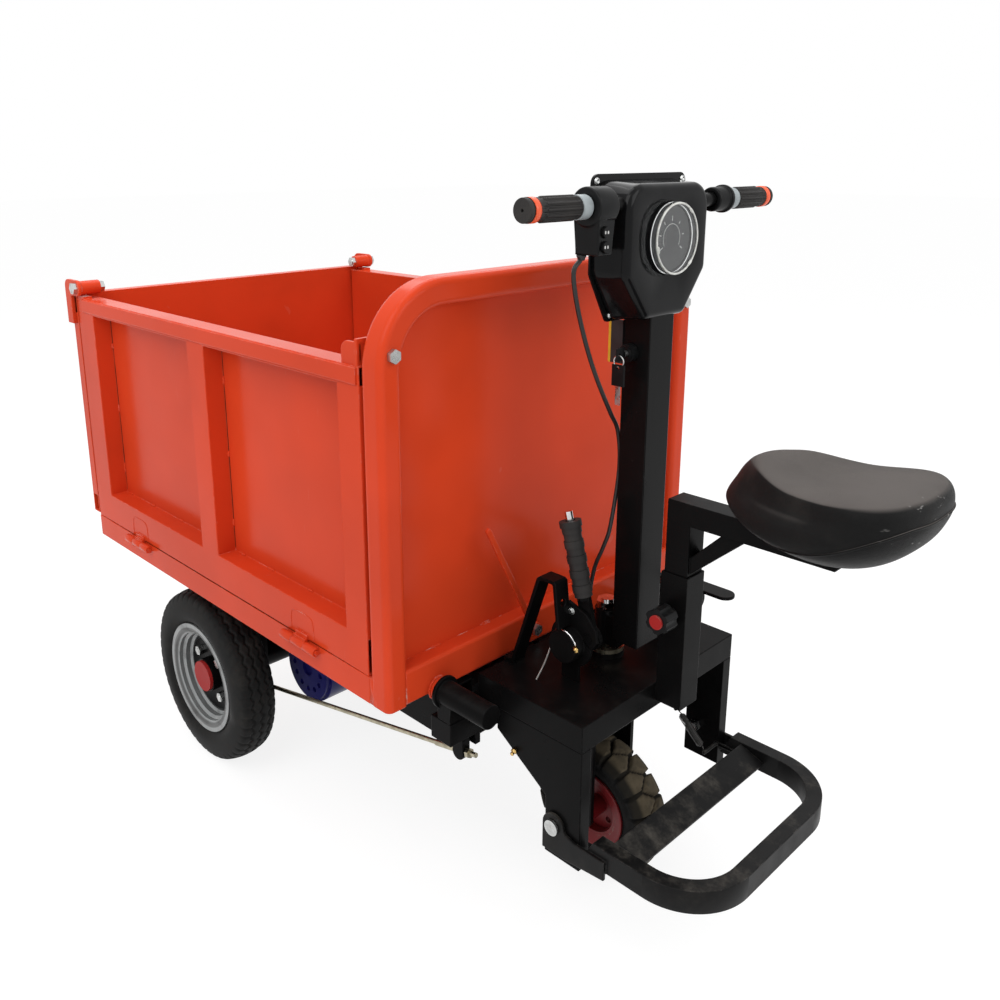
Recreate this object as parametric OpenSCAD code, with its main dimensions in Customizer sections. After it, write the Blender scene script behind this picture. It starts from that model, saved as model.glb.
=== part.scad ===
// Electric three-wheel tipping cart with a drop-side steel bed, a saddle and a footrest.
// Millimetres. +X points to the driver's end, +Y to the driver's right, +Z up.
// The origin is on the floor at the middle of the footprint.
// Inside the modules, x = 0 is the driver's face of the bed's end arch.

/* [Bed] */
// Length of the bed from the arch face to the rear ends of the sides
bed_length = 1038; // [1000:1:1080]
// Width of the bed over the drop sides
bed_width = 776; // [760:1:800]
// Height of the bed's lower edge above the floor
bed_bottom = 422; // [418:1:432]
// Height of a drop side
side_height = 498; // [470:1:520]
// Height of the arch above the drop sides
arch_rise = 122; // [110:1:135]

/* [Rear wheels] */
// Outer diameter of a rear tyre
rear_tyre_d = 374; // [368:1:380]
// Section width of a rear tyre
rear_tyre_w = 88; // [84:1:90]
// Distance of the rear axle behind the arch face
rear_setback = 684; // [670:1:692]

/* [Front wheel] */
// Outer diameter of the front tyre over its lugs
front_tyre_d = 256; // [250:1:260]
// Section width of the front tyre
front_tyre_w = 76; // [70:1:78]

/* [Steering] */
// Height of the handlebar's centre line
bar_z = 1192; // [1170:1:1215]
// Length of the handlebar over the grip ends
bar_length = 598; // [580:2:620]
// Width of the square steering column
column_w = 60; // [54:1:64]

/* [Seat] */
// Height of the top of the seat arm
arm_top = 748; // [735:1:765]
// Distance of the saddle's rear end from the arch face
seat_reach = 640; // [625:1:660]
// Greatest width of the saddle
saddle_w = 256; // [236:2:270]

/* [Footrest] */
// Distance of the footrest loop's end from the arch face
loop_reach = 468; // [450:1:490]
// Outer width of the footrest loop
loop_w = 420; // [412:2:430]

/* [Hidden] */
$fn = 64;

// Gap left between welded pieces, so that each stays its own solid
weld_gap = 0.1;
// Radial clearance of a running fit
run_fit = 0.05;

// Bed
half_w = bed_width / 2;
side_z0 = bed_bottom + 48;
side_z1 = side_z0 + side_height - 1;
arch_z1 = side_z1 + arch_rise;
arch_bar = 42;
arch_deep = 46;
arch_r = 130;
side_t = 40;
side_in = half_w - side_t;
side_x0 = -bed_length + 2;
side_x1 = -arch_deep - 2;
floor_z = bed_bottom + 44;
hinge_y = half_w + 8;
hinge_z = side_z0 - 8;
hinge_xs = [-0.80 * bed_length, -0.22 * bed_length];
gate_t = 26;
gate_x1 = -bed_length - 2;
gate_x0 = gate_x1 - gate_t;
gate_z0 = side_z0 + 3;
gate_z1 = side_z1 + 8;
gate_px = -bed_length + 18;
gate_pz = side_z1 + 22;
latch_y = -60;
latch_z = bed_bottom + 30;
latch_tilt = 28;
latch_stop_y = latch_y - 20 * sin(latch_tilt) - 10.4 * cos(latch_tilt);
latch_stop_z = latch_z + 20 * cos(latch_tilt) - 10.4 * sin(latch_tilt);

// Chassis
deck_z = bed_bottom + 8;
rail_in = 205;
rail_out = 250;
rail_z0 = bed_bottom - 117;
rail_z1 = bed_bottom - 10;
tip_x = -780;
tip_z = bed_bottom - 30;
tip_r = 11;
rail_x0 = tip_x - 18;
steer_x = 118;
deck_x0 = 16;
deck_x1 = 239;
leg_in = loop_w / 2 - 24;
leg_out = loop_w / 2 - 0.5;
leg_x0 = 168;
leg_z0 = 175;
pivot_x = 190;
pivot_z = 234;
stop_y = 285;
stop_r = 20;

// Rear axle
axle_x = -rear_setback;
axle_z = rear_tyre_d / 2;
half_track = 318;
shaft_r = 14;
motor_x = axle_x + 176;
motor_z = axle_z + 31;

// Steering
column_x0 = steer_x + 34;
column_x1 = column_x0 + 50;
column_z0 = deck_z + 46;
column_z1 = bar_z - 20;
head_z1 = bar_z + 26;
head_z0 = bar_z - 170;
head_x0 = column_x0;
head_x1 = column_x1 + 6;
bar_x = column_x1 - 14;
bar_r = 11;
gauge_z = bar_z - 51;
grip_y1 = bar_length / 2;
grip_y0 = grip_y1 - bar_length * 62 / 299;
head_w = bar_length * 51 / 299;
front_z = front_tyre_d / 2;

// Seat
sleeve_w = 48;
sleeve_x = deck_x1 + sleeve_w / 2 + weld_gap;
sleeve_z0 = deck_z - 32;
sleeve_z1 = deck_z + 198;
knob_z = deck_z + 132;
post_w = 42;
saddle_x0 = 341;

// Hand brake, pedal and brake linkage
lever_x = 168;
lever_y = -110;
lever_z = deck_z + 85;
drum_x = 134;
drum_z = deck_z + 67;
pedal_x = 125;
pedal_y = 150;
pedal_z = deck_z + 70;
cross_x = 22;
cross_tube_z0 = deck_z - 85;
cross_z = deck_z - 98;
arm_len = 24;
rod_y = 255;
drum_lever_x = axle_x + 46;
drum_lever_z = axle_z + 40;
rod_x0 = axle_x + 58;
rod_z0 = axle_z - 25;
drum_lever_len = norm([rod_x0 - drum_lever_x, rod_z0 - drum_lever_z]);
drum_lever_turn = atan2(rod_z0 - drum_lever_z, rod_x0 - drum_lever_x);
rod_x1 = cross_x;
rod_z1 = cross_z - arm_len;
rod_tilt = atan2(rod_z1 - rod_z0, rod_x1 - rod_x0);
rod_len = norm([rod_x1 - rod_x0, rod_z1 - rod_z0]);

// The whole machine is shifted along X so that the origin is at the middle of the footprint
rear_reach = gate_px - 56;
origin_x = -(rear_reach + seat_reach) / 2;

// Paint and material colours
orange = [0.86, 0.20, 0.12];
black = [0.07, 0.07, 0.075];
rubber = [0.05, 0.05, 0.05];
zinc = [0.72, 0.72, 0.70];
silver = [0.66, 0.67, 0.68];
red = [0.65, 0.08, 0.10];

// A block between two opposite corners
module block(a, b) {
    translate(a) cube(b - a);
}

// A round bar along X, Y or Z from one end to the other
module bar_x(y, z, x0, x1, r) {
    translate([x0, y, z]) rotate([0, 90, 0]) cylinder(h = x1 - x0, r = r);
}
module bar_y(x, z, y0, y1, r) {
    translate([x, y0, z]) rotate([-90, 0, 0]) cylinder(h = y1 - y0, r = r);
}
module bar_z(x, y, z0, z1, r) {
    translate([x, y, z0]) cylinder(h = z1 - z0, r = r);
}

// A hexagon head or nut along Y or X, given across the corners
module hex_y(x, z, y0, y1, r) {
    translate([x, y0, z]) rotate([-90, 0, 0]) cylinder(h = y1 - y0, r = r, $fn = 6);
}
module hex_x(y, z, x0, x1, r) {
    translate([x0, y, z]) rotate([0, 90, 0]) cylinder(h = x1 - x0, r = r, $fn = 6);
}

// A flat outline drawn in X and Z, made into a plate between two Y values
module plate_xz(y0, y1) {
    translate([0, y1, 0]) rotate([90, 0, 0]) linear_extrude(height = y1 - y0) children();
}

// A flat outline drawn in Y and Z, made into a plate between two X values
module plate_yz(x0, x1) {
    translate([x0, 0, 0]) rotate([90, 0, 90]) linear_extrude(height = x1 - x0) children();
}

// The children on the right and their mirror image on the left
module both_sides() {
    children();
    mirror([0, 1, 0]) children();
}

// A square tube, open at both ends along X
module tube_x(a, b, t) {
    difference() {
        block(a, b);
        block([a.x - 1, a.y + t, a.z + t], [b.x + 1, b.y - t, b.z - t]);
    }
}

// A square tube, open at both ends along Y
module tube_y(a, b, t) {
    difference() {
        block(a, b);
        block([a.x + t, a.y - 1, a.z + t], [b.x - t, b.y + 1, b.z - t]);
    }
}

// Points of a closed tube skin around a route, as rings of corner points
function route_dir(p, i) = let (
    a = p[max(i - 1, 0)],
    b = p[min(i + 1, len(p) - 1)]
) (b - a) / norm(b - a);
function ring_points(c, d, r, sides) = let (
    u0 = abs(d.z) > 0.9 ? [1, 0, 0] : [0, 0, 1],
    u = cross(d, u0) / norm(cross(d, u0)),
    v = cross(d, u)
) [for (k = [0 : sides - 1]) c + r * (cos(360 * k / sides) * u + sin(360 * k / sides) * v)];

// One unbroken tube swept along a route
module swept_tube(route, r, sides) {
    n = len(route);
    points = [for (i = [0 : n - 1]) each ring_points(route[i], route_dir(route, i), r, sides)];
    walls = [
        for (i = [0 : n - 2]) for (k = [0 : sides - 1]) for (t = [0, 1])
            t == 0
                ? [i * sides + k, i * sides + (k + 1) % sides, (i + 1) * sides + (k + 1) % sides]
                : [i * sides + k, (i + 1) * sides + (k + 1) % sides, (i + 1) * sides + k]
    ];
    first = [for (k = [sides - 1 : -1 : 0]) k];
    last = [for (k = [0 : sides - 1]) (n - 1) * sides + k];
    polyhedron(points, concat(walls, [first, last]), convexity = 6);
}

// A smooth curve through hand-chosen points, with a few steps between each pair
function curve_point(p, i, t) = let (
    a = p[max(i - 1, 0)],
    b = p[i],
    c = p[i + 1],
    d = p[min(i + 2, len(p) - 1)]
) 0.5 * (2 * b + (c - a) * t + (2 * a - 5 * b + 4 * c - d) * t * t + (3 * b - a - 3 * c + d) * t * t * t);
function smooth_route(p, steps) = concat(
    [for (i = [0 : len(p) - 2]) for (s = [0 : steps - 1]) curve_point(p, i, s / steps)],
    [p[len(p) - 1]]
);

// Chassis pieces

module frame_rail() {
    difference() {
        block([rail_x0, rail_in, rail_z0], [-2, rail_out, rail_z1]);
        block([rail_x0 - 1, rail_in + 4, rail_z0 + 4], [-1, rail_out - 4, rail_z1 - 4]);
        bar_y(tip_x, tip_z, rail_in - 1, rail_out + 1, tip_r);
    }
}

module axle_bracket() {
    difference() {
        block([axle_x - 38, rail_in + 4, axle_z - 8], [axle_x + 38, rail_out - 10, rail_z0 - weld_gap]);
        bar_y(axle_x, axle_z, rail_in, rail_out, 32 + weld_gap);
    }
}

module stop_tube() {
    difference() {
        union() {
            bar_x(stop_y, deck_z - 2, 14, 121, stop_r);
            bar_x(stop_y, deck_z - 2, 14, 20, stop_r + 7);
            block([14, stop_y - 15, deck_z - 45 + weld_gap], [44, stop_y + 15, deck_z - 12]);
        }
        bar_x(stop_y, deck_z - 2, 13, 100, stop_r - 5);
    }
}

module main_frame() {
    color(black) {
        both_sides() {
            frame_rail();
            axle_bracket();
            stop_tube();
            block([-700, rail_in + 8, rail_z1 + weld_gap], [-110, rail_out - 8, bed_bottom - 0.4]);
        }
        for (x = [-750, -400]) {
            tube_y([x, -rail_in + weld_gap, rail_z0 + 15], [x + 45, rail_in - weld_gap, rail_z0 + 70], 4);
        }
        difference() {
            block([-1.9, -300, cross_tube_z0], [45, 300, deck_z - 45]);
            block([2.1, -296, cross_tube_z0 + 4], [41, 296, deck_z - 49]);
            for (y = [-270, 270]) bar_z(20, y, cross_tube_z0 - 1, cross_tube_z0 + 5, 4);
        }
        both_sides() difference() {
            block([cross_x - 16, 226, cross_z - 14], [cross_x + 16, 238, cross_tube_z0 - weld_gap]);
            bar_y(cross_x, cross_z, 225, 239, 9 + run_fit);
        }
        difference() {
            block([-350, -rail_in + weld_gap, rail_z0], [-6, rail_in - weld_gap, rail_z0 + 20]);
            block([-347, -rail_in + 3, rail_z0 + 3], [-9, rail_in - 3, rail_z0 + 21]);
        }
        block([-640, -rail_in + weld_gap, rail_z0 + 6], [-440, rail_in - weld_gap, rail_z0 + 9]);
    }
}

module deck() {
    color(black) difference() {
        union() {
            block([deck_x0, -leg_out, deck_z - 5], [deck_x1, leg_out, deck_z]);
            both_sides() block([deck_x0, leg_out - 5, deck_z - 45], [deck_x1, leg_out, deck_z - 4]);
            block([deck_x1 - 5, -leg_out, deck_z - 45], [deck_x1, leg_out, deck_z - 4]);
            block([deck_x0, -leg_out, deck_z - 45], [deck_x0 + 5, leg_out, deck_z - 4]);
            block([deck_x0 + 4, -5, deck_z - 45], [deck_x1 - 4, 5, deck_z - 4]);
            bar_z(steer_x, 0, deck_z - 85, deck_z + 10, 30);
        }
        bar_z(steer_x, 0, deck_z - 86, deck_z + 11, 17);
    }
}

module leg() {
    difference() {
        union() {
            block([leg_x0, leg_in, leg_z0], [deck_x1, leg_out, deck_z - 45]);
            plate_xz(leg_out - 6, leg_out) polygon([
                [leg_x0 + 1, 276], [60, 347], [60, deck_z - 45], [leg_x0 + 1, deck_z - 45]
            ]);
        }
        block([leg_x0 + 4, leg_in + 4, leg_z0 - 1], [deck_x1 - 4, leg_out - 4, deck_z - 49]);
        bar_y(pivot_x, pivot_z, leg_in - 1, leg_out + 1, 6);
    }
}

module footrest_legs() {
    color(black) {
        both_sides() leg();
        bar_y(spring_pin_a.x, spring_pin_a.z, spring_y - 6, leg_in - weld_gap, 3.5);
    }
}

module seat_sleeve() {
    s = sleeve_w / 2;
    h = post_w / 2 + 0.4;
    color(black) difference() {
        block([sleeve_x - s, -s, sleeve_z0], [sleeve_x + s, s, sleeve_z1]);
        block([sleeve_x - h, -h, sleeve_z0 + 4], [sleeve_x + h, h, sleeve_z1 + 1]);
        bar_y(sleeve_x, knob_z, -s - 1, 0, 5);
    }
}

// A ring on the steering axis
module steering_ring(z0, z1) {
    difference() {
        bar_z(steer_x, 0, z0, z1, 31);
        bar_z(steer_x, 0, z0 - 1, z1 + 1, 15 + run_fit);
    }
}

module steering_bearings() {
    color(zinc) {
        steering_ring(deck_z + 10, deck_z + 17);
        steering_ring(deck_z - 92, deck_z - 85);
    }
}

module axle_housing() {
    color(black) difference() {
        union() {
            bar_y(axle_x, axle_z, -262, 262, 32);
            both_sides() bar_y(axle_x, axle_z, 254, 262, 40);
            bar_y(axle_x, axle_z, -64, 76, 84);
            bar_y(motor_x, motor_z, -64, 10, 62);
            translate([axle_x, -64, axle_z]) rotate([0, -atan2(motor_z - axle_z, motor_x - axle_x), 0])
                translate([0, 3, -50]) cube([motor_x - axle_x, 68, 100]);
        }
        both_sides() bar_y(axle_x, axle_z, 90, 270, shaft_r + run_fit);
    }
}

module motor() {
    color([0.05, 0.10, 0.45]) difference() {
        union() {
            bar_y(motor_x, motor_z, -190, -64 - weld_gap, 74);
            bar_y(motor_x, motor_z, -200, -190, 68);
            block([motor_x - 20, -150, motor_z + 50], [motor_x + 20, -90, motor_z + 79]);
        }
        for (k = [0 : 11]) {
            translate([motor_x + 46 * cos(30 * k), -201, motor_z + 46 * sin(30 * k)])
                rotate([-90, 0, 0]) cylinder(h = 7, r = 6, $fn = 24);
        }
        bar_y(motor_x, motor_z, -201, -194, 16);
    }
}

module batteries() {
    color([0.15, 0.16, 0.18]) for (x = [-338, -173]) for (s = [-1, 1]) {
        difference() {
            block([x, s > 0 ? 6 : -190, rail_z0 + 3], [x + 155, s > 0 ? 190 : -6, rail_z0 + 78]);
            block([x + 20, s * 98 - 60, rail_z0 + 74], [x + 135, s * 98 + 60, rail_z0 + 79]);
        }
    }
}

module controller() {
    color([0.55, 0.56, 0.57]) difference() {
        block([-620, -60, rail_z0 + 9], [-470, 60, rail_z0 + 60]);
        for (k = [0 : 9]) {
            block([-621, -54 + 11 * k, rail_z0 + 45], [-469, -48 + 11 * k, rail_z0 + 61]);
        }
    }
}

module tip_shaft() {
    color(zinc) bar_y(tip_x, tip_z, -rail_out - 6, rail_out + 6, tip_r - 0.02);
}

// The bent strap that carries the hand brake, and the ears of the foot pedal
module brake_brackets() {
    top = deck_z + 178;
    color(black) {
        difference() {
            plate_xz(lever_y - 36, lever_y - 6) polygon([
                [14, deck_z], [36, deck_z], [36, deck_z + 6], [91, top - 8], [95, top - 6], [117, top - 6],
                [119, top - 8], [128, deck_z + 98], [135, deck_z + 98], [125.5, top - 3], [121, top],
                [91, top], [85, top - 5], [30, deck_z + 8], [14, deck_z + 6]
            ]);
            bar_x(lever_y - 21, deck_z + 140, 90, 150, 6);
        }
        difference() {
            union() {
                plate_xz(lever_y - 5.9, lever_y) polygon([
                    [100, deck_z + 125], [128, deck_z + 138], [164, deck_z + 126], [184, deck_z + 104],
                    [188, deck_z + 84], [178, deck_z + 68], [156, deck_z + 60], [110, deck_z + 76],
                    [102, deck_z + 94]
                ]);
                bar_y(drum_x, drum_z, lever_y - 5.9, lever_y, 42);
                block([drum_x - 18, lever_y - 5.9, deck_z], [drum_x + 18, lever_y, deck_z + 40]);
                bar_y(drum_x, drum_z, lever_y - 28, lever_y - 5, 28);
            }
            bar_y(lever_x, lever_z, lever_y - 7, lever_y + 1, 8 + run_fit);
        }
        for (y = [pedal_y - 26, pedal_y + 20]) {
            difference() {
                union() {
                    block([pedal_x - 22, y, deck_z], [pedal_x + 22, y + 6, pedal_z]);
                    bar_y(pedal_x, pedal_z, y, y + 6, 22);
                }
                bar_y(pedal_x, pedal_z, y - 1, y + 7, 8 + run_fit);
            }
        }
    }
}

// One brake shoe: part of a ring around the axle
module shoe() {
    intersection() {
        rotate_extrude() translate([58, 0]) square([12, 22]);
        translate([0, -80, 0]) cube([90, 160, 22]);
    }
}

module rear_brakes() {
    color([0.2, 0.2, 0.2]) both_sides() {
        difference() {
            bar_y(axle_x, axle_z, 262.1, 266, 80);
            bar_y(axle_x, axle_z, 261, 267, shaft_r + 1);
            bar_y(drum_lever_x, drum_lever_z, 261, 267, 6 + run_fit);
        }
        for (a = [0, 180]) {
            translate([axle_x, 266 + weld_gap, axle_z]) rotate([-90, 0, 0]) rotate([0, 0, a])
                translate([2, 0, 0]) shoe();
        }
    }
}

// The thin wire rope from the hand brake's pulley down through the deck
module handbrake_cable() {
    color([0.75, 0.76, 0.76]) swept_tube([
        [drum_x - 29.6, lever_y - 17, drum_z], [drum_x - 30.4, lever_y - 19, drum_z - 14],
        [drum_x - 33, lever_y - 30, drum_z - 40], [drum_x - 36, lever_y - 47, deck_z + 0.95]
    ], 1.5, 8);
}

module footrest_bolts() {
    color(zinc) both_sides() {
        bar_y(pivot_x, pivot_z, leg_in - 8, leg_out + 7.6, 5.98);
        bar_y(pivot_x, pivot_z, leg_out + 7.6, leg_out + 12, 13);
        hex_y(pivot_x, pivot_z, leg_in - 14, leg_in - 0.1, 11);
    }
}

// Bed pieces

module bed_floor() {
    y1 = half_w;
    lug_y = rail_in - 24;
    color(orange) difference() {
        union() {
            both_sides()
                tube_x([-bed_length, side_in, bed_bottom], [-arch_deep - 0.1, y1, bed_bottom + 47], 3);
            tube_y(
                [-bed_length, -side_in - 1, bed_bottom], [-bed_length + 40, side_in + 1, bed_bottom + 47], 3
            );
            block([-bed_length + 39, -side_in - 1, floor_z - 3], [-arch_deep - 0.1, side_in + 1, floor_z]);
            for (x = [-800, -420]) {
                tube_y([x, -side_in - 1, bed_bottom], [x + 50, side_in + 1, floor_z - 2], 3);
            }
            both_sides() {
                block([tip_x - 24, lug_y, tip_z], [tip_x + 24, lug_y + 10, bed_bottom + 1]);
                bar_y(tip_x, tip_z, lug_y, lug_y + 10, 24);
                for (x = hinge_xs) {
                    bar_x(hinge_y, hinge_z, x - 50, x - 18, 8);
                    bar_x(hinge_y, hinge_z, x + 18, x + 50, 8);
                    block([x - 50, half_w - 1, hinge_z - 6], [x - 18, hinge_y, hinge_z + 3]);
                    block([x + 18, half_w - 1, hinge_z - 6], [x + 50, hinge_y, hinge_z + 3]);
                }
            }
        }
        both_sides() {
            bar_y(tip_x, tip_z, lug_y - 1, lug_y + 11, tip_r + run_fit);
            for (x = hinge_xs) bar_x(hinge_y, hinge_z, x - 60, x + 60, 4);
        }
    }
}

// Outline of the arch in Y and Z: straight legs with rounded upper corners
module arch_outline(inset) {
    w = half_w - inset;
    r = arch_r - inset;
    z1 = arch_z1 - inset;
    translate([-w, bed_bottom]) square([2 * w, z1 - r - bed_bottom]);
    translate([-w + r, bed_bottom]) square([2 * (w - r), z1 - bed_bottom]);
    for (s = [-1, 1]) translate([s * (w - r), z1 - r]) circle(r);
}

module bed_end_wall() {
    color(orange) difference() {
        union() {
            plate_yz(-arch_deep, 0) difference() {
                arch_outline(0);
                difference() {
                    arch_outline(arch_bar);
                    translate([-half_w, 0]) square([bed_width, bed_bottom + 60]);
                }
            }
            plate_yz(-33, -30) arch_outline(arch_bar - 1);
            both_sides() bar_x(stop_y, deck_z - 2, -1, 13.5, stop_r - 2);
            bar_x(latch_stop_y, latch_stop_z, -1, 10, 5);
        }
        plate_yz(-arch_deep + 3, -3) difference() {
            arch_outline(3);
            arch_outline(arch_bar - 3);
        }
        block([-arch_deep + 3, -half_w + 46, bed_bottom + 3], [-3, half_w - 46, bed_bottom + 56]);
        both_sides() bar_x(-half_w + 25, side_z1 + 19, -50, 1, 6);
        bar_x(latch_y, latch_z, -10, 1, 6);
    }
}

module bed_pins() {
    color(zinc) {
        both_sides() {
            for (x = hinge_xs) bar_x(hinge_y, hinge_z, x - 52, x + 52, 3.98);
            bar_x(half_w - 25, side_z1 + 19, -66, 0, 5.98);
            hex_x(half_w - 25, side_z1 + 19, 0, 8, 11);
        }
        bar_x(latch_y, latch_z, -8, 8.6, 5.98);
        hex_x(latch_y, latch_z, 8.6, 15, 11);
    }
}

// A drop side: hollow frame, recessed sheet, hinge knuckles and lock tab, made for the right
module drop_side() {
    bot = 64;
    top = 32;
    p1 = side_x0 + 72;
    p2 = -0.54 * bed_length;
    p3 = p2 + 60;
    p4 = side_x1 - 54;
    zb = side_z0 + bot;
    zt = side_z1 - top;
    t = 3;
    difference() {
        union() {
            block([side_x0, side_in, side_z0], [side_x1, half_w, side_z1]);
            block([-bed_length + 6, half_w - 20, side_z1 - 1], [gate_px + 16, half_w, side_z1 + 4.4]);
            block([side_x1 - 8, side_in, side_z1 - 38], [side_x1 - 2, half_w, side_z1 + 40]);
            for (x = hinge_xs) {
                bar_x(hinge_y, hinge_z, x - 17.6, x + 17.6, 7.6);
                block([x - 17.6, half_w + 0.4, hinge_z - 1], [x + 17.6, hinge_y, hinge_z + 12]);
                block([x - 17.6, half_w - 1, side_z0 + 1], [x + 17.6, half_w + 4, hinge_z + 18]);
            }
        }
        for (p = [[p1, p2], [p3, p4]]) {
            block([p[0], side_in + 2.5, zb], [p[1], half_w + 1, zt]);
        }
        block([side_x0 - 1, side_in + t, zt + t], [side_x1 + 1, half_w - t, side_z1 - t]);
        block([side_x0 - 1, side_in + t, side_z0 + t], [side_x1 + 1, half_w - t, zb - t]);
        for (p = [[side_x0 + t, p1 - t], [p2 + t, p3 - t], [p4 + t, side_x1 - t]]) {
            block([p[0], side_in + t, zb - t - 1], [p[1], half_w - t, zt + t + 1]);
        }
        for (x = hinge_xs) bar_x(hinge_y, hinge_z, x - 30, x + 30, 4 + run_fit);
        bar_x(half_w - 25, side_z1 + 19, side_x1 - 20, side_x1 + 5, 7);
        block([side_x1 - 20, side_in - 10, side_z1 + 8], [side_x1 + 5, half_w - 25, side_z1 + 27]);
    }
}

module right_drop_side() {
    color(orange) drop_side();
}

module left_drop_side() {
    color(orange) mirror([0, 1, 0]) drop_side();
}

module tailgate() {
    e = 44;
    t = 3;
    color(orange) difference() {
        block([gate_x0, -half_w, gate_z0], [gate_x1, half_w, gate_z1]);
        for (s = [-1, 1]) {
            block(
                [gate_x0 - 1, s > 0 ? 24 : -half_w + e, gate_z0 + e],
                [gate_x1 - t, s > 0 ? half_w - e : -24, gate_z1 - e]
            );
        }
        for (z = [gate_z0, gate_z1 - e]) {
            block([gate_x0 + t, -half_w - 1, z + t], [gate_x1 - t, half_w + 1, z + e - t]);
        }
        for (y = [-half_w + t, -24 + t, half_w - e + t]) {
            block(
                [gate_x0 + t, y, gate_z0 + e - t - 1],
                [gate_x1 - t, y + (y == -24 + t ? 48 : e) - 2 * t, gate_z1 - e + t + 1]
            );
        }
    }
}

// The hook plates that hang the tailgate, with their barrels
module tailgate_hangers() {
    color(orange) both_sides() difference() {
        union() {
            plate_xz(half_w, half_w + 8) {
                translate([gate_px, gate_pz]) {
                    circle(17);
                    translate([-39, 0]) circle(17);
                    translate([-39, -17]) square([39, 34]);
                    translate([-56, -79]) square([28, 79]);
                }
            }
            bar_y(gate_px, gate_pz, half_w - 43, half_w + 1, 15);
        }
        bar_y(gate_px, gate_pz, half_w - 50, half_w + 20, 8);
    }
}

module tailgate_bolts() {
    color(zinc) both_sides() {
        bar_y(gate_px, gate_pz, half_w - 54, half_w + 8, 7.98);
        hex_y(gate_px, gate_pz, half_w + 8, half_w + 16, 13);
        hex_y(gate_px, gate_pz, half_w - 52, half_w - 43, 13);
    }
}

module bed_latch_lever() {
    color(orange) translate([2, latch_y, latch_z]) rotate([latch_tilt, 0, 0]) difference() {
        plate_yz(0, 6) {
            circle(13);
            translate([-5, 0]) square([10, 245]);
            translate([0, 245]) circle(5);
        }
        bar_x(0, 0, -1, 7, 6 + run_fit);
    }
}

// Steering pieces

module steering_column() {
    w = column_w / 2;
    color(black) difference() {
        union() {
            block([column_x0, -w, column_z0], [column_x1, w, column_z1]);
            bar_z(steer_x, 0, deck_z + 17.3, deck_z + 85, 21);
            block([steer_x, -18, deck_z + 24], [column_x0 + 1, 18, deck_z + 78]);
            block([steer_x - 22, -40, deck_z + 24], [steer_x + 4, 0, deck_z + 33]);
        }
        block([column_x0 + 4, -w + 4, column_z0 + 8], [column_x1 - 4, w - 4, column_z1 - 8]);
        bar_z(steer_x, 0, deck_z, deck_z + 90, 15);
        bar_y(column_x0 + 16, bar_z - 224, -w - 1, 0, 11);
    }
}

module steering_fork() {
    fork_y = front_tyre_w / 2 + 12;
    top = deck_z - 92.3;
    color(black) difference() {
        union() {
            bar_z(steer_x, 0, top - 2, deck_z + 85, 14.98);
            bar_z(steer_x, 0, deck_z + 85, deck_z + 102, 12);
            translate([steer_x, 0, deck_z + 86]) cylinder(h = 12, r = 20, $fn = 6);
            block([steer_x - 30, -fork_y - 8, top - 14], [steer_x + 30, fork_y + 8, top]);
            bar_z(steer_x, 0, top - 1, top, 30);
            both_sides() {
                block([steer_x - 24, fork_y, front_z], [steer_x + 24, fork_y + 8, top - 13]);
                bar_y(steer_x, front_z, fork_y, fork_y + 8, 24);
            }
        }
        bar_y(steer_x, front_z, -fork_y - 20, fork_y + 20, 8);
    }
}

module front_axle() {
    fork_y = front_tyre_w / 2 + 12;
    color(zinc) {
        bar_y(steer_x, front_z, -fork_y - 20, fork_y + 20, 7.98);
        both_sides() hex_y(steer_x, front_z, fork_y + 8, fork_y + 18, 14);
    }
}

// Outline of the head in Y and Z: flat top with large corners, tapering below the middle
module head_outline(w, z0, z1, low, r) {
    hull() {
        for (s = [-1, 1]) {
            translate([s * (w - r), z1 - r]) circle(r, $fn = 32);
            translate([s * (w - 12), gauge_z - 46]) circle(12, $fn = 24);
            translate([s * (low - 8), z0 + 8]) circle(8, $fn = 24);
        }
    }
}

module head_back_plate() {
    color(black) difference() {
        plate_yz(head_x0 - 3, head_x0) head_outline(head_w + 14, head_z0 - 4, head_z1 + 16, head_w - 24, 14);
        for (s = [-1, 1]) {
            bar_x(s * (head_w + 4), head_z1 + 6, head_x0 - 4, head_x0 + 1, 3);
            bar_x(s * (head_w - 36), head_z0 + 6, head_x0 - 4, head_x0 + 1, 3);
        }
    }
}

module head_cover() {
    w = column_w / 2;
    color(black) difference() {
        plate_yz(head_x0 + weld_gap, head_x1) head_outline(head_w, head_z0, head_z1, head_w - 44, 37);
        plate_yz(head_x0 - 1, head_x1 - 3)
            head_outline(head_w - 3, head_z0 + 3, head_z1 - 3, head_w - 47, 34);
        bar_y(bar_x, bar_z, -120, 120, bar_r + 2);
        block([head_x0 - 1, -w - 0.5, head_z0 - 1], [column_x1 + 0.5, w + 0.5, head_z0 + 20]);
        bar_x(0, gauge_z, head_x1 - 5, head_x1 + 1, 48);
    }
}

module handlebar() {
    w = column_w / 2;
    color(black) {
        bar_y(bar_x, bar_z, -grip_y1 + 6, grip_y1 - 6, bar_r);
        difference() {
            block([column_x0 + 6, -w + 2, column_z1], [column_x1, w - 2, bar_z + 18]);
            bar_y(bar_x, bar_z, -w, w, bar_r + 0.01);
        }
    }
}

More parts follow.
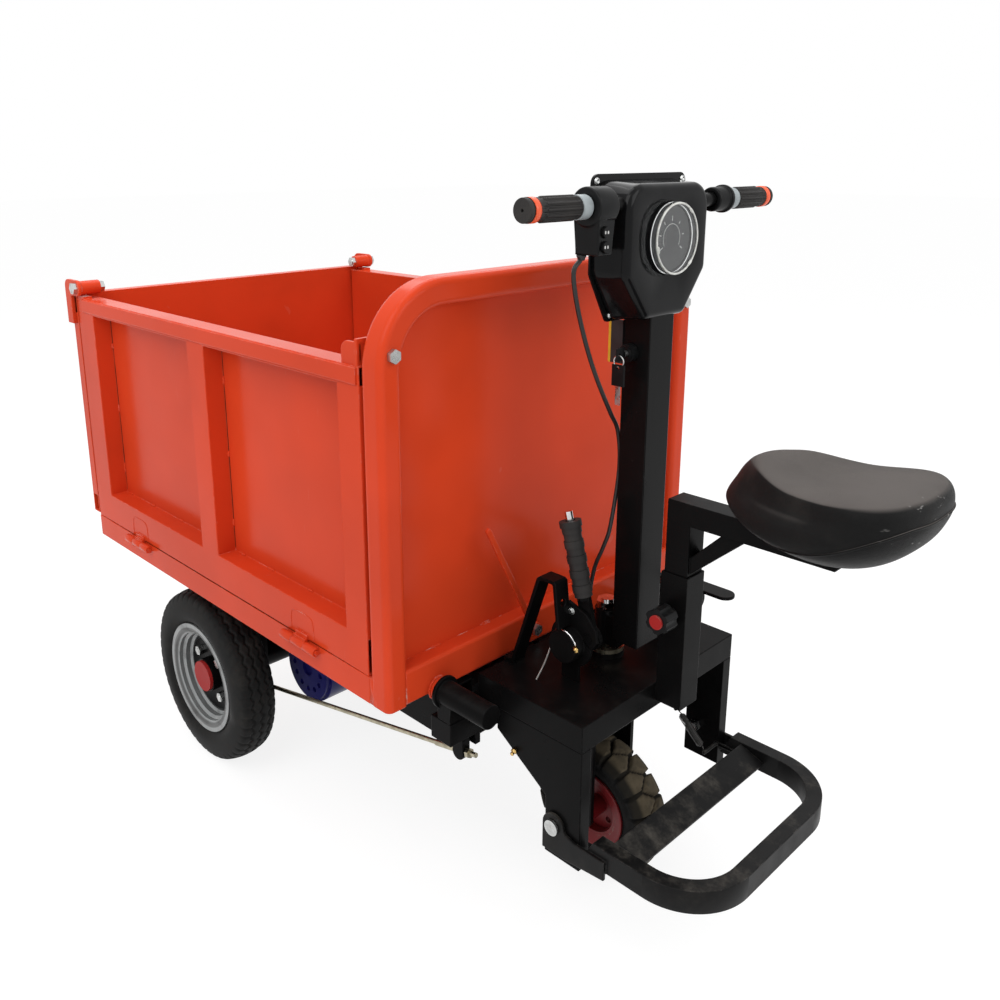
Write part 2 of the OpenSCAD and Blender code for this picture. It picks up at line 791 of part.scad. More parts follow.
// A ribbed hand grip on the bar, made for the right
module grip(bore) {
    difference() {
        union() {
            bar_y(bar_x, bar_z, grip_y0, grip_y1 - 8, 15.5);
            bar_y(bar_x, bar_z, grip_y1 - 8, grip_y1, 16.5);
            bar_y(bar_x, bar_z, grip_y1 - 19.5, grip_y1 - 9.5, 17);
            bar_y(bar_x, bar_z, grip_y0, grip_y0 + 20, 17);
            for (k = [0 : 11]) {
                bar_y(bar_x + 15.5 * cos(30 * k), bar_z + 15.5 * sin(30 * k), grip_y0 + 24, grip_y1 - 32, 2);
            }
        }
        bar_y(bar_x, bar_z, grip_y0 - 1, grip_y1 - 5.9, bore);
        bar_y(bar_x, bar_z, grip_y1 - 7, grip_y1 + 1, 2);
    }
}

module left_grip() {
    color([0.16, 0.15, 0.15]) mirror([0, 1, 0]) grip(bar_r + 0.01);
}

module throttle_grip() {
    color([0.16, 0.15, 0.15]) grip(bar_r + run_fit);
}

// The switch box on the left of the bar and the throttle housing on its right
module bar_controls() {
    y0 = grip_y0 - 2;
    color(black) {
        difference() {
            union() {
                bar_y(bar_x, bar_z, -y0, -y0 + 42, 27);
                block([bar_x - 22, -y0 + 5, bar_z - 66], [bar_x + 20, -y0 + 37, bar_z - 8]);
            }
            bar_y(bar_x, bar_z, -y0 - 1, -y0 + 43, bar_r + 0.01);
            bar_x(-y0 + 18, bar_z - 34, bar_x + 12, bar_x + 21, 7);
            bar_x(-y0 + 18, bar_z - 54, bar_x + 12, bar_x + 21, 7);
            bar_z(bar_x - 14, -y0 + 11, bar_z - 67, bar_z - 59, 4.6);
        }
        difference() {
            union() {
                bar_y(bar_x, bar_z, y0 - 8, y0, 22);
                bar_y(bar_x, bar_z, y0 - 38, y0 - 7, 19);
            }
            bar_y(bar_x, bar_z, y0 - 40, y0 + 1, bar_r + 0.01);
        }
    }
}

module gauge() {
    color([0.10, 0.10, 0.11]) {
        bar_x(0, gauge_z, head_x1 - 3, head_x1 + 1, 47.8);
        difference() {
            bar_x(0, gauge_z, head_x1 + weld_gap, head_x1 + 3, 53);
            bar_x(0, gauge_z, head_x1, head_x1 + 4, 48);
        }
    }
}

module gauge_lens() {
    color([0.80, 0.85, 0.88, 0.4]) difference() {
        bar_x(0, gauge_z, head_x1 + 3.1, head_x1 + 14, 53);
        bar_x(0, gauge_z, head_x1 + 2, head_x1 + 11, 50);
    }
}

// The key barrel on the column's left face, with the small plate beside it
module key_switch() {
    w = column_w / 2;
    kx = column_x0 + 16;
    kz = bar_z - 224;
    color(black) {
        difference() {
            union() {
                bar_y(kx, kz, -w - 12, -w - weld_gap, 14);
                bar_y(kx, kz, -w - 13, -6, 10.9);
            }
            bar_y(kx, kz, -w - 14, -20, 5);
        }
        block([column_x0 - 26, -w - 2.6, kz - 20], [column_x0 + 1, -w, kz + 48]);
    }
}

module key() {
    w = column_w / 2;
    kx = column_x0 + 16;
    kz = bar_z - 224;
    color(zinc) difference() {
        union() {
            bar_y(kx, kz, -w - 20, -22, 4.9);
            block([kx - 1.5, -w - 36, kz - 10], [kx + 1.5, -w - 18, kz + 10]);
        }
        bar_x(-w - 30, kz, kx - 4, kx + 4, 2.5);
    }
}

// The ring with the spare key that hangs from the key in the switch
module spare_key() {
    w = column_w / 2;
    kx = column_x0 + 16;
    kz = bar_z - 224;
    color([0.12, 0.12, 0.12]) {
        translate([kx, -w - 30, kz - 10]) rotate([90, 0, 0]) rotate_extrude(convexity = 4)
            translate([9, 0]) circle(1.1, $fn = 24);
        difference() {
            block([kx - 11, -w - 32, kz - 48], [kx + 11, -w - 28, kz - 15]);
            bar_y(kx, kz - 19.4, -w - 34, -w - 26, 2.6);
        }
        block([kx - 4, -w - 31, kz - 78], [kx + 4, -w - 29, kz - 47]);
    }
}

module switch_button(z) {
    y0 = grip_y0 - 2;
    bar_x(-y0 + 18, z, bar_x + 14, bar_x + 24, 6.9);
}

module horn_button() {
    color([0.75, 0.75, 0.72]) switch_button(bar_z - 54);
}

module light_switch() {
    color([0.75, 0.75, 0.72]) switch_button(bar_z - 34);
}

// The black lead from the switch box down behind the column to the steering base
control_route = [
    [bar_x - 14, -grip_y0 + 13, bar_z - 59], [bar_x - 14, -grip_y0 + 12, bar_z - 72],
    [bar_x - 16, -grip_y0 - 0.5, bar_z - 90], [bar_x - 20, -grip_y0 + 14, bar_z - 139],
    [bar_x - 26, -129, bar_z - 205], [column_x0 + 6, -98, bar_z - 258], [column_x0, -56, bar_z - 317],
    [column_x0 - 6, -column_w / 2 + 4, bar_z - 356], [column_x0 - 10, -14, deck_z + 340],
    [column_x0 - 8, -34, deck_z + 250], [steer_x + 16, -38, deck_z + 210], [steer_x, -39, deck_z + 168],
    [steer_x - 10, -38, deck_z + 110], [steer_x - 12, -34, deck_z + 60], [steer_x - 12, -33, deck_z + 33.3]
];

module control_cable() {
    color(rubber) swept_tube(smooth_route(control_route, 4), 3.4, 10);
}

// Wheels

// Section of the front tyre without its lugs, radius along X and width along Y
module front_section() {
    r = front_tyre_d / 2;
    w = front_tyre_w / 2;
    difference() {
        union() {
            intersection() {
                translate([r - 9 - 70, 0]) circle(70);
                translate([50, -w]) square([r, 2 * w]);
            }
            translate([r - 44, 0]) circle(w);
            polygon([[51.2, -25.7], [51.2, 25.7], [71, 26], [r - 50, w - 4], [r - 50, -w + 4], [71, -26]]);
        }
        translate([-1, -60]) square([52.2, 120]);
        for (s = [-1, 1]) translate([40, s * 46.2 - 20]) square([30.5, 40]);
    }
}

module front_tyre() {
    r = front_tyre_d / 2;
    w = front_tyre_w / 2;
    lugs = 20;
    color([0.36, 0.33, 0.28]) translate([steer_x, 0, front_z]) rotate([90, 0, 0]) {
        rotate_extrude() front_section();
        intersection() {
            rotate_extrude() difference() {
                translate([r - 70, 0]) intersection() {
                    circle(70);
                    translate([0, -w + 2]) square([80, 2 * w - 4]);
                }
                translate([r - 9.5 - 70, 0]) circle(70);
            }
            for (k = [0 : lugs - 1]) for (s = [-1, 1]) {
                rotate([0, 0, 360 * (k + (s > 0 ? 0.5 : 0)) / lugs])
                    translate([r - 30, -16, s > 0 ? 2 : -w]) cube([40, 32, w - 2]);
            }
        }
    }
}

module front_rim() {
    w = 27;
    color(red) translate([steer_x, 0, front_z]) rotate([90, 0, 0]) difference() {
        rotate_extrude() polygon([
            [8 + run_fit, -49.5], [18, -49.5], [18, -6], [46, -6], [46, -24], [67, -31], [70, -31],
            [70, -w], [51, -w + 1], [51, w - 1], [70, w], [70, 31], [67, 31], [46, 24], [46, 6], [18, 6],
            [18, 49.5], [8 + run_fit, 49.5]
        ]);
        for (k = [0 : 3]) rotate([0, 0, 90 * k + 45]) translate([33, 0, -10]) cylinder(h = 20, r = 6);
    }
}

// Section of a rear tyre, radius along X and width along Y
module rear_section() {
    r = rear_tyre_d / 2;
    w = rear_tyre_w / 2;
    difference() {
        union() {
            translate([r - w + 0.4, 0]) circle(w - 0.5);
            translate([101.3, -33.6]) square([40, 67.2]);
            intersection() {
                translate([r - 95, 0]) circle(95);
                translate([r - 40, -w + 7]) square([60, 2 * w - 14]);
            }
        }
        translate([-1, -60]) square([102.3, 120]);
        for (s = [-1, 1]) translate([90, s * 53.6 - 20]) square([29.6, 40]);
        for (y = [-24, -8, 8, 24]) translate([r - 7, y - 1.6]) square([20, 3.2]);
    }
}

// Places a wheel piece drawn around Z, outer face up, on the right rear hub
module on_right_hub() {
    translate([axle_x, half_track, axle_z]) rotate([-90, 0, 0]) children();
}

module rear_tyre() {
    color(rubber) on_right_hub() rotate_extrude() rear_section();
}

lug_ring = 56;

module rear_rim() {
    color(silver) on_right_hub() difference() {
        rotate_extrude() polygon([
            [119, 38], [119, 34], [101, 34], [101, -34], [119, -34], [119, -38], [97, -38], [97, -10],
            [46, -10],
            [46, -5], [86, -5], [86, 6], [91, 10], [91, 20], [97, 24], [97, 32], [105, 38]
        ]);
        for (k = [0 : 3]) rotate([0, 0, 90 * k + 45]) translate([lug_ring, 0, -12]) cylinder(h = 10, r = 6.2);
    }
}

// Hub with brake drum, half shaft, lug bolts and centre cap
module rear_hub() {
    color(black) on_right_hub() {
        difference() {
            union() {
                translate([0, 0, -48]) cylinder(h = 38 - weld_gap, r = 86);
                translate([0, 0, -12]) cylinder(h = 36, r = 36);
                translate([0, 0, -5 + weld_gap]) cylinder(h = 12, r = 80);
            }
            translate([0, 0, -49]) cylinder(h = 31, r = 74);
            translate([0, 0, -14]) difference() {
                cylinder(h = 9 + 2 * weld_gap, r = 100);
                cylinder(h = 20, r = 45.8);
                translate([0, 0, -40]) cylinder(h = 44 - weld_gap, r = 90);
            }
            for (k = [0 : 3]) {
                rotate([0, 0, 90 * k + 45]) translate([lug_ring, 0, -20]) cylinder(h = 40, r = 6);
            }
        }
        translate([0, 0, -half_track + 120]) cylinder(h = half_track - 120 - 17.9, r = shaft_r - 0.01);
        for (k = [0 : 3]) rotate([0, 0, 90 * k + 45]) translate([lug_ring, 0, 0]) {
            translate([0, 0, -16]) cylinder(h = 34, r = 5.98);
            translate([0, 0, 7 + 2 * weld_gap]) cylinder(h = 10, r = 10.5, $fn = 6);
        }
        translate([0, 0, 24 + weld_gap]) cylinder(h = 7, r = 33);
    }
}

// Operator pieces

// Outline of the footrest loop's tube in X and Y on one side, from the leg to the middle of the end
module loop_side(w, z0, z1, inset) {
    r = 110 - inset;
    x1 = loop_reach - inset;
    y1 = loop_w / 2 - inset;
    translate([x1 - r, y1 - r, z0]) rotate_extrude(angle = 90) translate([r - w, 0]) square([w, z1 - z0]);
    block([pivot_x + 50, y1 - w, z0], [x1 - r + 0.01, y1, z1]);
    block([x1 - w, -0.01, z0], [x1, y1 - r + 0.01, z1]);
}

module footrest() {
    y1 = loop_w / 2;
    z0 = pivot_z - 30;
    z1 = pivot_z + 9;
    bevel = atan2(22, 40);
    color(black) {
        both_sides() {
            difference() {
                loop_side(26, z0, z1, 0);
                loop_side(20, z0 + 3, z1 - 3, 3);
                translate([pivot_x + 53, 0, z0 - 1]) rotate([0, bevel, 0])
                    translate([-80, 0, -40]) cube([80, 300, 120]);
            }
            difference() {
                plate_xz(y1, y1 + 6) {
                    translate([pivot_x, pivot_z]) circle(22);
                    polygon([
                        [leg_x0, 186], [leg_x0, pivot_z], [212, pivot_z], [216, pivot_z - 4],
                        [232, pivot_z - 8],
                        [292, pivot_z - 8], [292, pivot_z - 40], [215, 186]
                    ]);
                }
                bar_y(pivot_x, pivot_z, y1 - 1, y1 + 7, 6 + run_fit);
            }
        }
        translate([308, 0, pivot_z - 5]) rotate([0, 20, 0]) block([-25, -y1 + 26.1, -3], [25, y1 - 26.1, 3]);
        translate([spring_pin_b.x, leg_in, spring_pin_b.z]) {
            translate([0, spring_y - leg_in - 6, 0]) rotate([-90, 0, 0])
                cylinder(h = leg_in - spring_y + 1, r = 3.5);
            block([-4, -9, -4], [60, -5, 4]);
            block([56, -9, -4], [60, -1.9, 4]);
        }
    }
}

// The over-centre spring: hooked on the right leg at its upper end and on the loop at its lower end
spring_y = leg_in - 44;
spring_pin_a = [176, spring_y, pivot_z + 48];
spring_pin_b = [240, spring_y, pivot_z - 12];
spring_dir = (spring_pin_b - spring_pin_a) / norm(spring_pin_b - spring_pin_a);
spring_top = spring_pin_a + 3.7 * spring_dir;
spring_low = spring_pin_b - 3.7 * spring_dir;
spring_len = norm(spring_low - spring_top);
spring_turns = 20;
spring_coil_r = 6;
spring_wire_r = 0.9;
spring_points = [for (i = [0 : 8 * spring_turns]) spring_point(i / (8 * spring_turns))];

// Least distance between the wire's own turns, measured on its points
spring_gap = min([
    for (i = [0 : len(spring_points) - 6]) for (j = [i + 5 : len(spring_points) - 1])
        norm(spring_points[i] - spring_points[j])
]) - 2 * spring_wire_r;
echo(spring_least_gap = spring_gap);

function spring_point(s) = let (
    d = (spring_low - spring_top) / spring_len,
    u = [0, 1, 0],
    v = cross(d, u),
    a = 360 * spring_turns * s,
    r = spring_coil_r * min(1, 12 * s + 0.25, 12 * (1 - s) + 0.25)
) spring_top + d * (8 + s * (spring_len - 16)) + r * (cos(a) * u + sin(a) * v);

module footrest_spring() {
    route = concat([spring_top], spring_points, [spring_low]);
    color([0.25, 0.25, 0.25]) swept_tube(route, spring_wire_r, 6);
}

module seat_post() {
    h = post_w / 2;
    x0 = sleeve_x - h;
    color(black) {
        difference() {
            union() {
                block([x0, -h, sleeve_z0 + 60], [x0 + post_w, h, arm_top]);
                block([x0, -h, arm_top - 36], [514, h, arm_top]);
                plate_xz(-16, 16) polygon([
                    [x0 + post_w - 1, arm_top - 117], [x0 + post_w - 1, arm_top - 89],
                    [337, arm_top - 35], [376, arm_top - 35]
                ]);
            }
            block([x0 + 3, -h + 3, sleeve_z0 + 59], [x0 + post_w - 3, h - 3, arm_top - 3]);
            block([x0 + post_w - 4, -h + 3, arm_top - 33], [515, h - 3, arm_top - 3]);
        }
    }
}

// The saddle is built from rings of its outline, from the underside up over the crown
saddle_steps = 40;
function saddle_outline(a) = let (
    mid = (saddle_x0 + seat_reach) / 2,
    half = (seat_reach - saddle_x0) / 2,
    c = cos(a),
    s = sin(a),
    w = saddle_w / 2 * (0.96 + 0.29 * c - 0.12 * c * c)
) [mid + half * sign(c) * pow(abs(c), 0.80), w * sign(s) * pow(abs(s), 0.80)];
function saddle_top(x) = let (u = (x - saddle_x0) / (seat_reach - saddle_x0))
    arm_top + 89 + 17 * exp(-pow((u - 0.16) / 0.20, 2)) + 13 * exp(-pow((u - 0.92) / 0.25, 2));
saddle_rings = [
    [0.50, -8, 0], [0.66, -7, 0], [0.70, 8, 0], [0.93, 12, 0], [0.99, 21, 0], [1.00, 38, 0], [0.985, 45, 0],
    [1.00, 51, 0], [0.985, 60, 0.2], [0.93, 70, 0.7], [0.82, 0, 0.90], [0.62, 0, 0.97], [0.36, 0, 1]
];
function saddle_point(a, ring) = let (
    p = saddle_outline(a),
    mid = (saddle_x0 + seat_reach) / 2,
    x = mid + (p.x - mid) * ring[0],
    side = arm_top + (ring[1] == 0 ? 68 : ring[1]),
    top = saddle_top(x)
) [x, p.y * ring[0], side + (top - side) * ring[2]];

module saddle_body() {
    n = saddle_steps;
    m = len(saddle_rings);
    mid = (saddle_x0 + seat_reach) / 2;
    points = concat(
        [for (ring = saddle_rings) for (k = [0 : n - 1]) saddle_point(360 * k / n, ring)],
        [[mid, 0, arm_top - 8], [mid, 0, saddle_top(mid)]]
    );
    walls = [
        for (j = [0 : m - 2]) for (k = [0 : n - 1]) for (t = [0, 1])
            t == 0
                ? [j * n + k, (j + 1) * n + k, j * n + (k + 1) % n]
                : [(j + 1) * n + k, (j + 1) * n + (k + 1) % n, j * n + (k + 1) % n]
    ];
    under = [for (k = [0 : n - 1]) [m * n, k, (k + 1) % n]];
    crown = [for (k = [0 : n - 1]) [m * n + 1, (m - 1) * n + (k + 1) % n, (m - 1) * n + k]];
    polyhedron(points, concat(walls, under, crown), convexity = 6);
}

module saddle() {
    h = post_w / 2 + 2;
    color([0.17, 0.15, 0.15]) difference() {
        saddle_body();
        block([saddle_x0 - 10, -h, arm_top - 60], [518, h, arm_top]);
    }
}

module seat_knob() {
    s = sleeve_w / 2;
    color(black) {
        difference() {
            bar_y(sleeve_x, knob_z, -s - 42, -s - 14, 21);
            for (k = [0 : 5]) {
                bar_y(sleeve_x + 26 * cos(60 * k), knob_z + 26 * sin(60 * k), -s - 43, -s - 13, 8.4);
            }
        }
        bar_y(sleeve_x, knob_z, -s - 15, -s + 2.2, 4.95);
        bar_y(sleeve_x, knob_z, -s - 14.1, -s - 1, 11);
        bar_y(sleeve_x, knob_z, -s - 45, -s - 41, 11.5);
    }
}

// The hand lever leans towards the bed by this angle when it is off
lever_lean = 15;
lever_grip_z0 = 68;
lever_grip_z1 = 192;

// Places lever pieces drawn straight up from the pivot
module on_lever() {
    translate([lever_x, lever_y, lever_z]) rotate([0, -lever_lean, 0]) children();
}

module handbrake_lever() {
    color(black) {
        on_lever() difference() {
            union() {
                bar_y(0, 0, 0.4, 8.4, 20);
                block([-12, 0.4, 0], [12, 8.4, lever_grip_z0]);
                bar_z(0, 4.4, lever_grip_z0 - 6, lever_grip_z1 - 4, 10);
            }
            bar_z(0, 4.4, lever_grip_z1 - 34, lever_grip_z1, 6.5);
        }
        bar_y(lever_x, lever_z, lever_y - 5.8, lever_y + 1, 7.98);
        bar_y(lever_x, lever_z, lever_y + 8, lever_y + 13, 12);
    }
}

module handbrake_grip() {
    color(rubber) on_lever() translate([0, 4.4, 0]) difference() {
        union() {
            bar_z(0, 0, lever_grip_z0, lever_grip_z1, 14.5);
            for (k = [0 : 4]) bar_z(0, 0, lever_grip_z0 + 8 + 24 * k, lever_grip_z0 + 20 + 24 * k, 16);
            bar_z(0, 0, lever_grip_z1 - 10, lever_grip_z1, 18);
        }
        bar_z(0, 0, lever_grip_z0 - 1, lever_grip_z1 - 4, 10.1);
        bar_z(0, 0, lever_grip_z1 - 5, lever_grip_z1 + 1, 8);
    }
}

module handbrake_button() {
    color(zinc) on_lever() bar_z(0, 4.4, lever_grip_z1 - 22, lever_grip_z1 + 15, 6.4);
}

module brake_pedal() {
    w = 18;
    color(black) {
        bar_y(pedal_x, pedal_z, pedal_y - 19.6, pedal_y + 19.6, 17);
        plate_xz(pedal_y - w, pedal_y + w) polygon([
            [pedal_x, pedal_z + 8], [pedal_x, pedal_z + 16], [pedal_x + 34, pedal_z + 34],
            [pedal_x + 126, pedal_z + 34],
            [pedal_x + 126, pedal_z + 28], [pedal_x + 36, pedal_z + 28], [pedal_x + 12, pedal_z + 8]
        ]);
        bar_z(pedal_x + 126, pedal_y, pedal_z + 28, pedal_z + 34, w);
        bar_y(pedal_x, pedal_z, pedal_y - 30, pedal_y + 30, 7.98);
    }
}

module brake_shaft() {
    color([0.25, 0.25, 0.26]) difference() {
        union() {
            bar_y(cross_x, cross_z, -rod_y - 8.5, rod_y + 8.5, 9);
            both_sides() {
                plate_xz(rod_y - 8.5, rod_y + 8.5) {
                    translate([cross_x, cross_z]) circle(12);
                    translate([cross_x - 12, cross_z - arm_len]) square([24, arm_len]);
                    translate([cross_x, cross_z - arm_len]) circle(13);
                }
            }
        }
        both_sides() translate([cross_x, rod_y, cross_z - arm_len]) rotate([0, 90 - rod_tilt, 0])
            translate([0, 0, -60]) cylinder(h = 120, r = 6.5);
    }
}

module brake_rods() {
    color([0.62, 0.58, 0.42]) both_sides() difference() {
        union() {
            translate([rod_x0, rod_y, rod_z0]) rotate([0, 90 - rod_tilt, 0]) {
                cylinder(h = rod_len + 36, r = 4.2);
                translate([0, 0, rod_len + 15.4]) cylinder(h = 7, r = 8.5, $fn = 6);
                translate([0, 0, rod_len - 62]) cylinder(h = 46, r = 5.6);
            }
            bar_y(rod_x0, rod_z0, rod_y - 4.7, rod_y + 4.7, 10);
        }
        bar_y(rod_x0, rod_z0, rod_y - 6, rod_y + 6, 5.2);
    }
}

module brake_levers() {
    color([0.25, 0.25, 0.26]) both_sides() {
        plate_xz(rod_y - 11, rod_y - 5) {
            translate([drum_lever_x, drum_lever_z]) {
                circle(13);
                rotate(drum_lever_turn) translate([0, -9]) square([drum_lever_len, 18]);
            }
            translate([rod_x0, rod_z0]) circle(9);
        }
        bar_y(drum_lever_x, drum_lever_z, rod_y - 6, 265.8, 6);
        bar_y(rod_x0, rod_z0, rod_y - 6, rod_y + 6.4, 4);
    }
}

// Everything is drawn through here, with the origin at the middle of the footprint
module placed() {
    translate([origin_x, 0, 0]) children();
}

placed() main_frame();
placed() deck();
placed() footrest_legs();
placed() seat_sleeve();
placed() steering_bearings();
placed() axle_housing();
placed() motor();
placed() batteries();
placed() controller();
placed() tip_shaft();
placed() brake_brackets();
placed() rear_brakes();
placed() handbrake_cable();
placed() footrest_bolts();
placed() bed_floor();
placed() bed_end_wall();
placed() bed_pins();
placed() left_drop_side();
placed() right_drop_side();
placed() tailgate();
placed() tailgate_hangers();
placed() tailgate_bolts();
placed() bed_latch_lever();
placed() steering_column();
placed() steering_fork();
placed() front_axle();
placed() head_back_plate();
placed() head_cover();
placed() handlebar();
placed() left_grip();
placed() bar_controls();
placed() gauge();
placed() gauge_lens();
placed() key_switch();
placed() control_cable();
placed() throttle_grip();
placed() key();
placed() spare_key();
placed() horn_button();
placed() light_switch();
placed() front_tyre();
placed() front_rim();
placed() mirror([0, 1, 0]) rear_tyre();  // rear_left_tyre
placed() mirror([0, 1, 0]) rear_rim();  // rear_left_rim
placed() mirror([0, 1, 0]) rear_hub();  // rear_left_hub
placed() rear_tyre();  // rear_right_tyre
placed() rear_rim();  // rear_right_rim
placed() rear_hub();  // rear_right_hub
placed() footrest();
placed() footrest_spring();
placed() seat_post();
placed() saddle();
placed() seat_knob();
placed() handbrake_lever();
placed() handbrake_grip();
placed() handbrake_button();
placed() brake_pedal();
placed() brake_shaft();
placed() brake_rods();
placed() brake_levers();
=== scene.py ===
import math

import bpy
from bpy.props import FloatProperty, FloatVectorProperty, PointerProperty
from mathutils import Matrix, Vector, noise


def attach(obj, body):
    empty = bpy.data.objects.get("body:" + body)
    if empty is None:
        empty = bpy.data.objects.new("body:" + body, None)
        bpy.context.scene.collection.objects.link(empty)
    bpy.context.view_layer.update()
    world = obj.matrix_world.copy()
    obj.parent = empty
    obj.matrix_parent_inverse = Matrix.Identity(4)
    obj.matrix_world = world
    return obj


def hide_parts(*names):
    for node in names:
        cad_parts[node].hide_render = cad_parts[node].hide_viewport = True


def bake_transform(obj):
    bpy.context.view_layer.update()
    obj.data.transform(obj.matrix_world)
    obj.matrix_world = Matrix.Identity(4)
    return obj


bl_info = {
    "name": "Tipping cart finishes",
    "version": (1, 0, 0),
    "blender": (4, 5, 0),
    "location": "View3D > Sidebar > Cart",
    "description": "Paint, rubber, vinyl and small fittings for an electric three-wheel tipping cart",
    "category": "Object",
}

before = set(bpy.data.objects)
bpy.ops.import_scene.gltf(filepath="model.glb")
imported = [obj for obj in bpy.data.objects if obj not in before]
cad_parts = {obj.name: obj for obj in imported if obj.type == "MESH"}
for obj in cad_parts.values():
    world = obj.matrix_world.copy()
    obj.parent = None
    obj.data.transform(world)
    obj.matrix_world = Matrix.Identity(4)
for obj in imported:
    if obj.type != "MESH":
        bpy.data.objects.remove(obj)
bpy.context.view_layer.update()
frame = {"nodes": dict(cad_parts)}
NODES = frame["nodes"]

# The CAD draws from the bed's end wall, and its parts are moved this far towards the driver
SHIFT = 0.218

# Places in the drawing's millimetres: the axles' X and Z, and the height of the gauge's middle
FRONT_AXLE, REAR_AXLE = (118, 128), (-684, 187)
GAUGE = 1141


def at(x, y, z):
    """A point given in the drawing's millimetres, in metres in the part's frame."""
    return Vector((x / 1000 + SHIFT, y / 1000, z / 1000))


def colour_prop(name, description, red, green, blue):
    """One colour that a user may change."""
    return FloatVectorProperty(
        name=name, description=description, subtype="COLOR", size=3, min=0, max=1,
        default=(red, green, blue),
    )


def size_prop(name, description, default):
    """One length that a user may change, in metres."""
    return FloatProperty(name=name, description=description, default=default, min=0.0001, unit="LENGTH")


class CartColours(bpy.types.PropertyGroup):
    """Colours of the cart's finishes, as linear light"""

    bed: colour_prop("Bed paint", "Orange-red paint of the drop-side bed", 0.63, 0.053, 0.015)
    primer: colour_prop("Bare edge", "Pale metal where the bed's paint is knocked off", 0.62, 0.40, 0.34)
    frame: colour_prop("Frame paint", "Black paint of the chassis and column", 0.0040, 0.0039, 0.0040)
    dust: colour_prop("Dust", "Site dust that lies on the machine", 0.20, 0.18, 0.155)
    rim: colour_prop("Rear rims", "Silver paint of the rear rims", 0.27, 0.28, 0.28)
    # The front rim's red is darker than its paint: partly red paint, partly painted shade, as the rim stands
    # in shade
    front_rim: colour_prop("Front rim", "Red paint of the front rim", 0.15, 0.009, 0.011)
    cap: colour_prop("Hub caps", "Red of the worn hub caps and the knob's button", 0.36, 0.020, 0.019)
    motor: colour_prop("Motor", "Blue of the drive motor", 0.010, 0.010, 0.105)
    tyre: colour_prop("Tyres", "Rubber of the rear tyres", 0.0065, 0.0065, 0.0065)
    tread: colour_prop("Dusty tread", "Clay on the front tyre's lugs", 0.108, 0.087, 0.057)
    grip: colour_prop("Grips", "Dark rubber of the hand grips", 0.017, 0.0155, 0.015)
    ring_orange: colour_prop("Grip ring", "Bright ring at each grip's end", 0.78, 0.10, 0.03)
    ring_grey: colour_prop("Grip collar", "Grey collar of each grip", 0.26, 0.29, 0.30)
    vinyl: colour_prop("Vinyl", "Black vinyl of the saddle's sides", 0.006, 0.006, 0.006)
    vinyl_worn: colour_prop("Worn vinyl", "Faded top of the saddle", 0.105, 0.094, 0.088)
    plastic: colour_prop("Head plastic", "Moulded cover of the steering head", 0.0045, 0.0046, 0.005)


class CartSizes(bpy.types.PropertyGroup):
    """Sizes of the cart's soft pieces and small fittings"""

    lead: size_prop("Control lead", "Diameter of the lead from the switch box", 0.0068)
    wire: size_prop("Brake wire", "Diameter of the hand brake's wire rope", 0.003)
    coil: size_prop("Spring coil", "Radius of the footrest spring's coils", 0.006)
    spring_wire: size_prop("Spring wire", "Radius of the footrest spring's wire", 0.0009)
    saddle_width: size_prop("Saddle width", "Greatest width of the saddle", 0.256)
    seam: size_prop("Saddle seam", "Radius of the saddle's seam cord", 0.0016)
    edge: size_prop("Paint edge", "Width of the rounding on the steel's edges", 0.0014)


def colours():
    return bpy.context.scene.cart_colours


def sizes():
    return bpy.context.scene.cart_sizes


class Nodes:
    """A material's or a world's node tree being put together."""

    def __init__(self, owner):
        owner.use_nodes = True
        self.tree = owner.node_tree
        self.tree.nodes.clear()

    def node(self, kind, feeds=None, **settings):
        """A new node; feeds are values or outputs for its sockets, by name or number."""
        made = self.tree.nodes.new("ShaderNode" + kind)
        for key, value in settings.items():
            setattr(made, key, value)
        for key, value in (feeds or {}).items():
            self.feed(made.inputs[key], value)
        return made

    def feed(self, socket, value):
        """A number, a colour or another node's output goes into a socket."""
        if isinstance(value, bpy.types.NodeSocket):
            self.tree.links.new(value, socket)
        elif socket.type == "RGBA" and len(value) == 3:
            socket.default_value = (*value, 1)
        else:
            socket.default_value = value

    def math(self, operation, a, b=0.0, clamp=False):
        return self.node("Math", {0: a, 1: b}, operation=operation, use_clamp=clamp).outputs[0]


